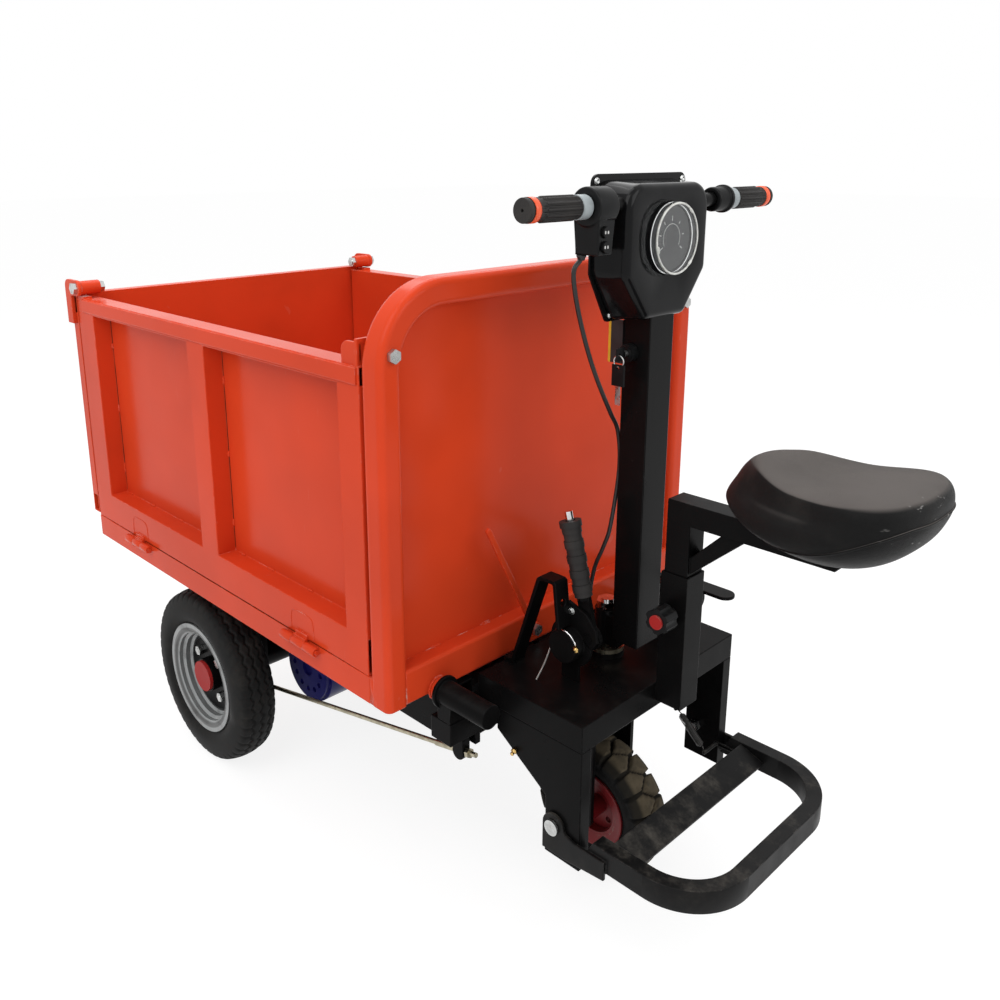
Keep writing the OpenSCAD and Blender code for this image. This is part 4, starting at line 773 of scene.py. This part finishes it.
class CART_OT_bed(CartOperator):
    """Paints the bed, its drop sides and its tailgate"""

    bl_idname = "cart.bed"
    bl_label = "Bed"

    PLAIN = (
        ("bed_paint", True, "bed_floor tailgate tailgate_hangers bed_latch_lever"),
        ("zinc", False, "tailgate_bolts"),
    )
    # A drop side's panels between its posts, their height, and the hinges' places along it
    PANELS = ((-964, -560.5), (-500.5, -102))
    LOW, HIGH = 535, 934
    HINGES = (-830, -228)
    # How far out the panels' face, the weld beads and the hinges' straps lie
    PANEL_FACE, WELD_FACE, STRAP_FACE = 350.9, 351.5, 387.9
    # The bed's pins are painted beyond this distance across and below this height, in metres
    PAINTED_PINS = (0.386, 0.48)

    def build(self, scene):
        edge = sizes().edge
        out, height = self.PAINTED_PINS
        dress("bed_pins", "zinc", ("bed_paint", lambda p, n: abs(p.y) > out and p.z < height))
        for side, way in (("left", -1), ("right", 1)):
            body = f"{side}_side"
            dress(f"{side}_drop_side", "bed_paint", edge=edge, whole=False)
            new_piece(f"{side}_welds", *self.side_welds(way), "bed_paint", body, "orange_paint")
            # A near-black strip down each panel's edge is painted shade of the slit there
            new_piece(f"{side}_slits", *self.side_slits(way), "gap_dark", body, "black_paint")
            for name, made in (("lock_plate", self.lock_plate(way)), ("rail", self.rail(way))):
                piece = new_piece(f"{side}_{name}", *made, "bed_paint", body, "orange_paint", smooth=False)
                soften(piece, edge, whole=False)

    def side_welds(self, way):
        """Stitch welds round a drop side's panels, and the ripple round each hinge's strap."""
        parts = []
        tall = self.HIGH - self.LOW
        bulge = (0.0006, 0.0022, 0.0028, 0.0023, 0.0029, 0.0019, 0.0006)
        for x0, x1 in self.PANELS:
            runs = [((x0 + (x1 - x0) * t, self.LOW), (1, 0)) for t in (0.06, 0.31, 0.62, 0.93)]
            runs += [((x0 + (x1 - x0) * t, self.HIGH), (1, 0)) for t in (0.2, 0.5, 0.8)]
            runs += [((x, self.LOW + tall * t), (0, 1)) for x in (x0 + 1, x1 - 1) for t in (0.14, 0.48, 0.83)]
            for k, ((x, z), (ux, uz)) in enumerate(runs):
                half = 9 + 3 * math.sin(5 * k + x0)
                steps = [half * t for t in (-1, -0.7, -0.3, 0.1, 0.45, 0.8, 1)]
                parts.append(tube([at(x + ux * d, way * self.WELD_FACE, z + uz * d) for d in steps], bulge))
        strap = ((-33, 474), (-32, 502), (-24, 513), (0, 515), (24, 513), (32, 502), (33, 474))
        for x in self.HINGES:
            route = smooth_route([at(x + u, way * self.STRAP_FACE, z) for u, z in strap], 9)
            ripple = [0.0011 + 0.0003 * math.sin(2.1 * i) for i in range(len(route))]
            parts.append(tube(route, ripple, 7))
        return joined(*parts)

    def side_slits(self, way):
        """Painted shade of the narrow slit down the rear edge of each panel, uneven like a hand-fitted joint.
        """
        parts = []
        for x0, _ in self.PANELS:
            heights = [540 + 388 * k / 40 for k in range(41)]
            wide = [0.55 + 0.45 * noise.noise(Vector((x0 / 90, 0, z / 38))) for z in heights]
            line = [at(x0 + 1.0, way * self.PANEL_FACE, z) for z in heights]
            parts.append(tube(line, [0.001 * min(1.0, max(0.12, w)) for w in wide], 6))
        return joined(*parts)

    @staticmethod
    def rail(way):
        """The outer skin of the side's top rail, which stands a little proud of the posts."""
        section = ((386.5, 965.6), (391.4, 965.6), (391.4, 941.5), (390.2, 938.5), (386.5, 938.5))
        loops = [[at(x, way * y, z) for y, z in section] for x in (-1012, -700, -380, -52)]
        return skin(loops, flip=way > 0)

    @staticmethod
    def lock_plate(way):
        """The small plate that stands on the side's top rail beside the arch, with one rounded corner."""
        outline = [(-93, 964), (-50, 964), (-50, 1001)]
        outline += [(-77 + 16 * c, 985 + 16 * s) for c, s in arc(90, 180, 8)]
        loops = [[at(x, way * y, z) for x, z in outline] for y in (378.6, 384.6)]
        return skin(loops, flip=way > 0)


class CART_OT_end_wall(CartOperator):
    """Bends the rounded arch of the bed's end wall, and sets the sheet and the lower rail in it"""

    bl_idname = "cart.end_wall"
    bl_label = "End wall"

    HALF, LOW, TOP, BEND = 388, 422, 1089, 130
    BAR, DEEP, RAIL = 42, 46, 60
    # The two stops' place, and (distance, radius) profiles of a stop and of the latch's pin
    STOP_SIDES, STOP_HEIGHT = (-285, 285), 428
    STOP = ((0, 18), (0.8, 18), (12.4, 18), (13.2, 17.6), (14.2, 16.4), (14.3, 0.5))
    PIN = ((0, 5), (0.5, 5), (9.6, 5), (10.5, 4.4), (10.9, 3.2), (11, 0.3))

    @staticmethod
    def section(half_across, half_deep, r):
        """A rounded bar's section, with extra points beside each round that keep its flats flat."""
        points = []
        for k, (su, sx) in enumerate(((1, 1), (-1, 1), (-1, -1), (1, -1))):
            for step in range(-1, 8):
                a = math.radians(90 * k + 15 * min(6, max(0, step)))
                slide = 0.8 * (min(0, step) + max(0, step - 6))
                points.append((
                    su * (half_across - r) + r * math.cos(a) - slide * math.sin(a),
                    sx * (half_deep - r) + r * math.sin(a) + slide * math.cos(a),
                ))
        return points

    def swept(self, stations, section):
        """A bar with that section through stations of (place in the wall's plane, direction across)."""
        return skin([
            [at(x - self.DEEP / 2, p.x + out.x * u, p.y + out.y * u) for u, x in section]
            for p, out in stations
        ])

    def bend(self, inset, start, end, steps):
        """Places and outward directions round one upper corner of the arch."""
        side = math.copysign(self.HALF - self.BEND, 90 - (start + end) / 2)
        middle = Vector((side, self.TOP - self.BEND))
        return [(middle + Vector(out) * (self.BEND - inset), Vector(out)) for out in arc(start, end, steps)]

    def arch(self):
        half = self.HALF - self.BAR / 2
        left, right = Vector((-1, 0)), Vector((1, 0))
        heights = (self.LOW, self.LOW + 0.8, self.LOW + 250)
        stations = [(Vector((-half, z)), left) for z in heights]
        stations += self.bend(self.BAR / 2, 180, 90, 30) + self.bend(self.BAR / 2, 90, 0, 30)
        stations += [(Vector((half, z)), right) for z in reversed(heights)]
        return self.swept(stations, self.section(self.BAR / 2, self.DEEP / 2, 11))

    def rail(self):
        reach = self.HALF - self.BAR + 4
        z, up = self.LOW + self.RAIL / 2, Vector((0, 1))
        ends = (-reach, 1 - reach, -reach / 3, reach / 3, reach - 1, reach)
        stations = [(Vector((y, z)), up) for y in ends]
        return self.swept(stations, self.section(self.RAIL / 2, self.DEEP / 2 - 0.6, 6))

    def sheet(self):
        """The end sheet, whose rim is inside the arch's tube."""
        loops = []
        for x, inside in ((-30, 10.5), (-30, 12), (-33, 12), (-33, 10.5)):
            inset = self.BAR - inside
            half, low = self.HALF - inset, self.LOW - 20 + inset
            rim = [Vector((-half, low)), Vector((half, low))]
            rim += [p for p, _ in self.bend(inset, 0, 90, 20) + self.bend(inset, 90, 180, 20)]
            loops.append([at(x, p.x, p.y) for p in rim])
        return skin(loops, flip=True)

    def feet(self):
        """Ground welds that run the floor's side rails into the arch's feet."""
        for low, high in ((-387.7, -370), (370, 387.7)):
            corners = ((-49, low), (-30, low), (-30, high), (-49, high))
            yield skin([[at(x, y, self.LOW + z) for x, y in corners] for z in (0.8, 46.2)])

    def welds(self):
        """Tack welds along the sheet's lower edge and round the two stops."""
        bulge = (0.0005, 0.0020, 0.0027, 0.0021, 0.0026, 0.0005)
        for y in (-262, -148, -12, 104, 226):
            steps = (-11, -7, -2, 3, 8, 11)
            yield tube([at(-29.6, y + d, self.LOW + self.RAIL + 0.4) for d in steps], bulge)
        ripple = [0.0021 + 0.0005 * math.sin(2.3 * i) for i in range(48)]
        for y in self.STOP_SIDES:
            ring = [at(0.2, y + 18.6 * c, self.STOP_HEIGHT + 18.6 * s) for c, s in circle(48)]
            yield tube(ring, ripple, closed=True)

    def build(self, scene):
        parts = [self.arch(), self.rail(), self.sheet(), *self.feet(), *self.welds()]
        parts += [turned(self.STOP, (-1, y, self.STOP_HEIGHT), (1, 0, 0), 40) for y in self.STOP_SIDES]
        parts.append(turned(self.PIN, (-1, -78.6, 464.8), (1, 0, 0), 20))
        wall = new_piece("end_wall", *joined(*parts), "bed_paint", "bed", "orange_paint")
        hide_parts("bed_end_wall")


class CART_OT_chassis(CartOperator):
    """Paints the chassis and finishes what is bolted to it"""

    bl_idname = "cart.chassis"
    bl_label = "Chassis"

    PLAIN = (
        ("frame_paint", True, "main_frame deck footrest_legs seat_sleeve axle_housing brake_brackets"),
        ("frame_paint", True, "rear_brakes brake_shaft brake_levers brake_pedal seat_post"),
        ("footrest_paint", True, "footrest"),
        ("zinc", False, "tip_shaft footrest_bolts"),
        ("yellow_zinc", False, "steering_bearings brake_rods"),
        ("motor_paint", False, "motor"),
        ("battery_plastic", False, "batteries"),
        ("bare_alloy", False, "controller"),
    )

    def build(self, scene):
        dress("seat_knob", "switch_plastic", ("cap_paint", lambda p, n: p.y < -0.0664))


class CART_OT_steering(CartOperator):
    """Finishes the column, head, bar, gauge, keys and switches"""

    bl_idname = "cart.steering"
    bl_label = "Steering"

    PLAIN = (
        ("column_paint", True, "steering_column"),
        ("column_paint", False, "handlebar"),
        ("zinc", False, "front_axle"),
        ("head_plastic", False, "head_back_plate"),
        ("switch_plastic", False, "horn_button light_switch"),
        ("clear_lens", False, "gauge_lens"),
        ("frame_paint", False, "handbrake_lever"),
        ("grip_rubber", False, "handbrake_grip"),
        ("chrome", False, "handbrake_button"),
    )
    # Where finishes meet on one node, in metres: the fork's bright nut, the grips' collar and ring, the
    # dial's edge, and the key's plastic head
    NUT, COLLAR, RING, DIAL, KEY_HEAD = 0.5155, 0.1955, (0.2790, 0.2900), 0.047, -0.0479
    KEY_RING, KEY_RING_RADIUS, KEY_RING_WIRE, KEY_BLADE = (168, -60, 958), 0.009, 0.0013, 0.9195
    # Depths of the dial's marks, of the lens's rim and of its tabs, with the radii of these two
    MARKS, RIM, TABS = (209.3, 209.6), (221.2, 51.2), (222.0, 50.0)
    SCREW = ((0.0, 5.4), (0.9, 5.5), (2.2, 4.9), (3.0, 3.4), (3.2, 2.5), (2.1, 2.4), (2.0, 0.2))
    SCREWS = ((106, 1224), (-106, 1224), (66, 1028), (-66, 1028))

    def build(self, scene):
        edge = sizes().edge
        dress("steering_fork", "frame_paint", ("chrome", lambda p, n: p.z > self.NUT))
        for node, way in (("left_grip", -1), ("throttle_grip", 1)):
            dress(
                node, "grip_rubber",
                ("ring_grey", lambda p, n, w=way: w * p.y < self.COLLAR),
                ("ring_orange", lambda p, n, w=way: self.RING[0] < w * p.y < self.RING[1]),
                edge=edge,
            )
        dress("bar_controls", "switch_plastic", edge=2 * edge)
        dress("gauge", "switch_plastic", (
            "dial_face", lambda p, n: n.x > 0.9 and math.hypot(p.y, p.z - GAUGE / 1000) < self.DIAL
        ))
        plate = at(152.5, 0, 0).x
        dress("key_switch", "switch_plastic", ("key_plate", lambda p, n: p.x < plate and p.y > -0.0328))
        dress("key", "zinc", ("switch_plastic", lambda p, n: p.y < self.KEY_HEAD))
        ring = at(*self.KEY_RING)

        def steel(p, n):
            off = abs(math.hypot(p.x - ring.x, p.z - ring.z) - self.KEY_RING_RADIUS)
            return max(off, abs(p.y - ring.y)) < self.KEY_RING_WIRE or p.z < self.KEY_BLADE

        dress("spare_key", "switch_plastic", ("zinc", steel))
        self.dial()
        screws = [turned(self.SCREW, (152, y, z), (1, 0, 0), 24) for y, z in self.SCREWS]
        new_piece("head_screws", *joined(*screws), "zinc", "steering", "zinc")

    def dial(self):
        """Scale marks on the gauge's face, and the rim of its lens drawn pale as a painted highlight."""
        parts = []
        for k, (c, s) in enumerate(arc(-30, 210, 6)):
            near, far = (26.5, 31.5) if k % 3 else (25, 32.5)
            corners = ((near, -0.6), (far, -0.6), (far, 0.6), (near, 0.6))
            parts.append(skin([
                [at(x, c * r - s * w, GAUGE + s * r + c * w) for r, w in corners] for x in self.MARKS
            ]))
        scale = [at(209.5, 21 * c, GAUGE + 21 * s) for c, s in arc(-30, 210, 60)]
        parts.append(tube(scale, 0.00045, 6))
        new_piece("dial_marks", *joined(*parts), "mark_white", "steering", "button_plastic", smooth=False)
        x, r = self.RIM
        rim = [at(x, r * c, GAUGE + r * s) for c, s in circle(96)]
        parts = [tube(rim, 0.0017, closed=True)]
        x, r = self.TABS
        for degrees in (52, 196, 312):
            tab = [at(x, r * c, GAUGE + r * s) for c, s in arc(degrees - 6, degrees + 6, 6)]
            parts.append(tube(tab, [0.0012, *[0.0024] * 5, 0.0012]))
        # The lens's rim is drawn pale: painted highlight
        new_piece("lens_rim", *joined(*parts), "lens_rim", "steering", "clear_lens")


class CART_OT_head_cover(CartOperator):
    """Moulds the rounded cover of the steering head"""

    bl_idname = "cart.head_cover"
    bl_label = "Head cover"

    BACK, FRONT, ROUND, HOLE = 152.2, 208, 11, 48
    STEPS = 160
    # Half spread, height and radius of the rounds that bound the cover's front, in millimetres,
    # and the same for its wider back
    ROUNDS = ((66, 1185, 37), (81, 1097, 22), (42, 1038, 16))
    FOOT = ((75, 1187, 38), (90, 1100, 22), (56, 1036, 16))

    def rim(self, x, inset, flare):
        """The cover's outline at a depth, drawn in by an inset and flared towards its back."""
        rounds = []
        for front, back in zip(self.ROUNDS, self.FOOT):
            y, z, r = ((1 - flare) * f + flare * b for f, b in zip(front, back))
            rounds += [(Vector((s * y, z)), r - inset) for s in (-1, 1)]
        points = []
        for out in map(Vector, circle(self.STEPS)):
            centre, r = max(rounds, key=lambda c: c[0].dot(out) + c[1])
            points.append(at(x, *(centre + out * r)))
        return points

    def build(self, scene):
        flat = self.FRONT - self.ROUND
        loops = []
        for t in (k / 7 for k in range(8)):
            loops.append(self.rim(self.BACK + t * (flat - self.BACK), 1.2 * t, (1 - t) ** 1.6))
        for c, s in arc(0, 90, 9)[1:]:
            loops.append(self.rim(flat + self.ROUND * s, 1.2 + self.ROUND * (1 - c), 0.0))
        for depth, more in ((0, 1.2), (0.4, 0.3), (1.5, 0), (5, 0)):
            r = self.HOLE + more
            loops.append([at(self.FRONT - depth, r * c, GAUGE + r * s) for c, s in circle(self.STEPS)])
        made = skin(loops, lid=False)
        cover = new_piece("head_shell", *made, "head_plastic", "steering", "black_plastic")
        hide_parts("head_cover")


class CART_OT_tyres(CartOperator):
    """Moulds the three tyres with their treads"""

    bl_idname = "cart.tyres"
    bl_label = "Tyres"

    # Half sections from the crown to the bead: (distance across, radius) in millimetres
    FRONT = (
        (0, 119.4), (4, 119.3), (8, 119.0), (12, 118.5), (16, 117.8), (20, 116.8), (23, 115.6), (26, 113.8),
        (28.6, 111.2), (30.6, 108), (32, 104), (33.4, 99.5), (34.4, 95), (35, 90), (34.2, 85), (32, 80),
        (29.4, 75.5), (27, 72), (26.2, 70.6), (25.7, 60), (25.6, 52),
    )
    REAR = (
        (0, 186.9), (2.5, 186.9), (5, 186.8), (7.5, 186.6), (10, 186.4), (12.5, 186.1), (15, 185.7),
        (17.5, 185.3), (20, 184.8), (22.5, 184.2), (25, 183.6), (27.5, 182.9), (30, 182), (32.4, 180.9),
        (34.6, 179.2), (36.4, 176.8), (37.8, 173.8), (38.8, 170.4), (39.8, 166.5), (41, 161.5), (42.2, 155),
        (43, 148.5), (43.3, 142), (42.6, 135.5), (40.6, 129.5), (37.6, 124.5), (34.6, 120.8), (33.4, 119.4),
        (33.2, 110), (33.1, 102),
    )
    FRONT_LUGS, REAR_LUGS = 19, 48
    LUG_STEPS = {19: 18, 48: 8}
    REAR_TRACK = 318

    def front_lug(self, turn, s):
        """Height of the front tread: two rows of five-sided blocks that interlock at the middle."""
        best = 0.0
        for row in (1, -1):
            across = s * row
            along = turn * self.FRONT_LUGS / (2 * math.pi) + (0.5 if row > 0 else 0.0)
            off = abs((along % 1.0) - 0.5) * 2
            wide = 0.86 * unit((across + 9) / 21)
            edge = min((wide - off) * 21 / 1.7, (across + 9) / 2.0, (46 - across) / 5.0)
            best = max(best, unit(edge))
        return 8.4 * best * (1.0 - 0.35 * unit((abs(s) - 28) / 18))

    def rear_lug(self, turn, s):
        """Depth of the rear tread: three zigzag grooves and slots across the shoulders."""
        along = turn * self.REAR_LUGS / (2 * math.pi)
        zig = abs((along % 1.0) - 0.5) * 4 - 1
        cut = 0.0
        for middle, way in ((0, 1), (18.5, -1), (-18.5, -1)):
            gap = abs(s - middle - 3.4 * way * zig)
            cut = max(cut, 1 - max(0.0, (gap - 1.3) / 1.4))
        if abs(s) > 24:
            slot = abs(((along + 0.5) % 1.0) - 0.5) * 24.5
            fade = unit((abs(s) - 24) / 3) * unit((48 - abs(s)) / 12)
            cut = max(cut, 0.6 * fade * (1 - max(0.0, (slot - 1.8) / 1.8)))
        return -4.0 * unit(cut)

    def mould(self, half, axle, middle, lugs, lug):
        """A tyre swept round its axle, with the tread's height added."""
        section = [(-y, r) for y, r in reversed(half[1:])] + list(half)
        crown = len(half) - 1
        arcs = [0.0] * len(section)
        for j in range(crown + 1, len(section)):
            arcs[j] = arcs[j - 1] + math.dist(section[j], section[j - 1])
            arcs[2 * crown - j] = -arcs[j]
        outs = []
        for j in range(len(section)):
            a, b = section[max(0, j - 1)], section[min(len(section) - 1, j + 1)]
            outs.append(Vector((-(b[1] - a[1]), b[0] - a[0])).normalized())
        loops = []
        rounds = lugs * self.LUG_STEPS[lugs]
        for turn in (2 * math.pi * i / rounds for i in range(rounds)):
            loop = []
            for (y, r), s, out in zip(section, arcs, outs):
                h = lug(turn, s)
                r += h * out.y
                x, z = axle[0] + r * math.cos(turn), axle[1] + r * math.sin(turn)
                loop.append(at(x, middle + y + h * out.x, z))
            loops.append(loop)
        return skin(loops, around=True)

    def build(self, scene):
        front = (self.FRONT, FRONT_AXLE, 0, self.FRONT_LUGS, self.front_lug)
        kinds = [("front", front, "dusty_tyre", "dusty_tyre")]
        for side, way in (("left", -1), ("right", 1)):
            rear = (self.REAR, REAR_AXLE, way * self.REAR_TRACK, self.REAR_LUGS, self.rear_lug)
            kinds.append((f"rear_{side}", rear, "tyre_rubber", "tyre"))
        for place, shape, finish, slot in kinds:
            tyre = new_piece(f"{place}_tread", *self.mould(*shape), finish, f"{place}_wheel", slot)
            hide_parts(f"{place}_tyre")


class CART_OT_wheels(CartOperator):
    """Finishes the rims and hubs"""

    bl_idname = "cart.wheels"
    bl_label = "Wheels"

    PLAIN = (("front_rim_paint", False, "front_rim"), ("rim_paint", False, "rear_left_rim rear_right_rim"))
    # The cap's outer face and radius, and the lug bolts' face, circle and reach, in metres
    CAP, CAP_RADIUS = 0.3421, 0.0335
    LUGS, LUG_CIRCLE, LUG_REACH = 0.3252, 0.056, 0.012

    def build(self, scene):
        axle = at(REAR_AXLE[0], 0, REAR_AXLE[1])

        def off_axle(p):
            return math.hypot(p.x - axle.x, p.z - axle.z)

        for side in ("left", "right"):
            dress(
                f"rear_{side}_hub", "frame_paint",
                ("cap_paint", lambda p, n: abs(p.y) > self.CAP and off_axle(p) < self.CAP_RADIUS),
                ("zinc", lambda p, n: abs(p.y) > self.LUGS
                 and abs(off_axle(p) - self.LUG_CIRCLE) < self.LUG_REACH),
            )


class CART_OT_fittings(CartOperator):
    """Adds small fittings: a grease nipple, bolts, the brake wire's end, switch marks and a grommet"""

    bl_idname = "cart.fittings"
    bl_label = "Small fittings"

    # Turned profiles: (distance along the axis, radius) in millimetres
    NIPPLE = ((0, 3.6), (2.5, 3.6), (2.6, 5), (6, 5), (6.1, 2.8), (9, 2.6), (10, 3.4), (12, 3), (12.6, 1.2))
    WASHER = ((0, 6.2), (1.0, 6.2), (1.1, 5.9))
    BOLT = ((1.0, 4.6), (3.6, 4.6), (4.2, 4.0), (4.3, 0.4))
    WIRE_END = ((0, 2), (0.3, 3.4), (3, 3.6), (3.2, 4.4), (6.5, 4.4), (6.8, 3.4), (10, 3.2), (10.6, 1.5))
    GROMMET = ((0, 6.2), (0.8, 7.0), (2.6, 7.0), (3.6, 6.0), (7.5, 5.0), (8.0, 4.2), (8.0, 3.6))
    BOLTS = ((108, 548), (121, 555), (135, 553))
    DRUM, DRUM_RADIUS = (134, 497), 28.9

    def build(self, scene):
        nipple = turned(self.NIPPLE, (101, -209, 327), (0.2, -1, -0.35), 18)
        new_piece("grease_nipple", *nipple, "brass", "chassis", "bronze_rod")
        bolts = [
            turned(profile, (x, -115.8, z), (0, -1, 0), sides)
            for x, z in self.BOLTS for profile, sides in ((self.WASHER, 24), (self.BOLT, 6))
        ]
        new_piece("plate_bolts", *joined(*bolts), "zinc", "chassis", "zinc", smooth=False)
        end = turned(self.WIRE_END, (160, -136, 507), (0.45, -0.2, -0.62), 18)
        new_piece("wire_end", *end, "brass", "chassis", "bronze_rod")
        new_piece("drum_wire", *self.drum_wire(), "chrome", "chassis", "zinc")
        for name, z, body in (("light_marks", 1158, "light"), ("horn_marks", 1138, "horn")):
            new_piece(name, *self.marks(z), "mark_white", body, "button_plastic", smooth=False)
        grommet = turned(self.GROMMET, (174, -162, 1125.9), (0, -0.05, -1), 24)
        new_piece("lead_grommet", *grommet, "lead_sheath", "steering", "black_rubber")

    def drum_wire(self):
        """The bright wire that lies round the upper side of the hand brake's drum."""
        (x, z), r = self.DRUM, self.DRUM_RADIUS
        line = [at(x + r * c, -135.5, z + r * s) for c, s in arc(122, 22, 30)]
        return tube(line, [0.0009, *[0.0013] * 29, 0.0009], 10)

    @staticmethod
    def marks(z):
        """Two small raised marks on a switch's button."""
        rim = ((-1, -0.6), (-0.6, -1), (0.6, -1), (1, -0.6), (1, 0.6), (0.6, 1), (-0.6, 1), (-1, 0.6))
        return joined(*(
            skin([[at(x, y + 1.3 * c, z + 2.1 * s) for c, s in rim] for x in (211.9, 212.3)])
            for y in (-158, -152)
        ))


class CART_OT_stage(CartOperator):
    """Builds the pale floor and the soft studio light"""

    bl_idname = "cart.stage"
    bl_label = "Stage"

    # Place, size and power of each lamp, and what it looks at
    LAMPS = (
        ((0.6, -2.6, 3.4), 2.6, 60, (-0.1, 0, 0.6)),
        ((3.0, 0.6, 2.4), 2.0, 30, (0, 0, 0.7)),
        ((-1.6, 1.4, 3.6), 2.6, 40, (-0.2, 0, 0.6)),
        ((-0.4, -0.3, 3.8), 1.8, 26, (-0.3, 0, 0.6)),
    )
    FLOOR, FLOOR_DROP = 30.0, 0.0005
    # The floor's own grey, how much of it is seen as background, and how bright that is
    GREY, SHOWN, BRIGHT = (0.86, 0.86, 0.86), 0.72, 1.17
    # Strength of the world as light, and where it is seen
    SKY_LIGHT, SKY_SEEN = 0.62, 1.0

    def build(self, scene):
        scene.view_settings.view_transform = "Standard"
        floor = bpy.data.meshes.new("floor")
        corners = [(x * self.FLOOR, y * self.FLOOR) for x, y in ((-1, -1), (1, -1), (1, 1), (-1, 1))]
        floor.from_pydata([(*corner, -self.FLOOR_DROP) for corner in corners], [], [(0, 1, 2, 3)])
        obj = bpy.data.objects.new("floor", floor)
        scene.collection.objects.link(obj)
        floor.materials.append(self.floor_finish())
        self.world(scene)
        for k, (place, width, power, target) in enumerate(self.LAMPS):
            lamp = bpy.data.lights.new(f"soft_lamp_{k}", "AREA")
            lamp.shape = "SQUARE"
            lamp.size = width
            lamp.energy = power
            light = bpy.data.objects.new(f"soft_lamp_{k}", lamp)
            light.location = place
            light.rotation_euler = (Vector(target) - Vector(place)).to_track_quat("-Z", "Y").to_euler()
            scene.collection.objects.link(light)

    @staticmethod
    def seen(nodes):
        """1 for rays that show the background: camera, mirror and glass rays."""
        path = nodes.node("LightPath").outputs
        total = path["Is Camera Ray"]
        for name in ("Is Glossy Ray", "Is Transmission Ray"):
            total = nodes.math("MAXIMUM", total, path[name])
        return total

    def floor_finish(self):
        made = bpy.data.materials.new("pale_floor")
        nodes = Nodes(made)
        plain = nodes.node("BsdfDiffuse", {"Color": self.GREY}).outputs[0]
        white = nodes.node("Emission", {"Strength": self.BRIGHT}).outputs[0]
        share = nodes.math("MULTIPLY", self.seen(nodes), self.SHOWN)
        mix = nodes.node("MixShader", {0: share, 1: plain, 2: white})
        nodes.node("OutputMaterial", {0: mix.outputs[0]})
        return made

    def world(self, scene):
        scene.world = bpy.data.worlds.new("soft_studio")
        nodes = Nodes(scene.world)
        level = nodes.node("MapRange", {0: self.seen(nodes), 3: self.SKY_LIGHT, 4: self.SKY_SEEN})
        sky = nodes.node("Background", {"Color": (1, 1, 1), "Strength": level.outputs[0]})
        nodes.node("OutputWorld", {0: sky.outputs[0]})


STEPS = (
    CART_OT_camera, CART_OT_control_lead, CART_OT_saddle, CART_OT_spring, CART_OT_bed, CART_OT_end_wall,
    CART_OT_chassis, CART_OT_steering, CART_OT_head_cover, CART_OT_tyres, CART_OT_wheels, CART_OT_fittings,
    CART_OT_stage,
)


class CART_PT_finishes(bpy.types.Panel):
    """Lists the cart's finishing steps, sizes and colours"""

    bl_idname = "CART_PT_finishes"
    bl_label = "Tipping cart"
    bl_space_type = "VIEW_3D"
    bl_region_type = "UI"
    bl_category = "Cart"

    def draw(self, context):
        for step in STEPS:
            self.layout.operator(step.bl_idname, text=step.bl_label)
        for group in (context.scene.cart_sizes, context.scene.cart_colours):
            box = self.layout.box()
            for name in group.bl_rna.properties.keys():
                if name not in {"rna_type", "name"}:
                    box.prop(group, name)


CLASSES = (CartColours, CartSizes, *STEPS, CART_PT_finishes)


def register():
    for cls in CLASSES:
        bpy.utils.register_class(cls)
    bpy.types.Scene.cart_colours = PointerProperty(type=CartColours)
    bpy.types.Scene.cart_sizes = PointerProperty(type=CartSizes)


def unregister():
    del bpy.types.Scene.cart_sizes
    del bpy.types.Scene.cart_colours
    for cls in reversed(CLASSES):
        bpy.utils.unregister_class(cls)


def main():
    register()
    for step in STEPS:
        group, name = step.bl_idname.split(".")
        getattr(getattr(bpy.ops, group), name)()


if __name__ == "__main__":
    main()
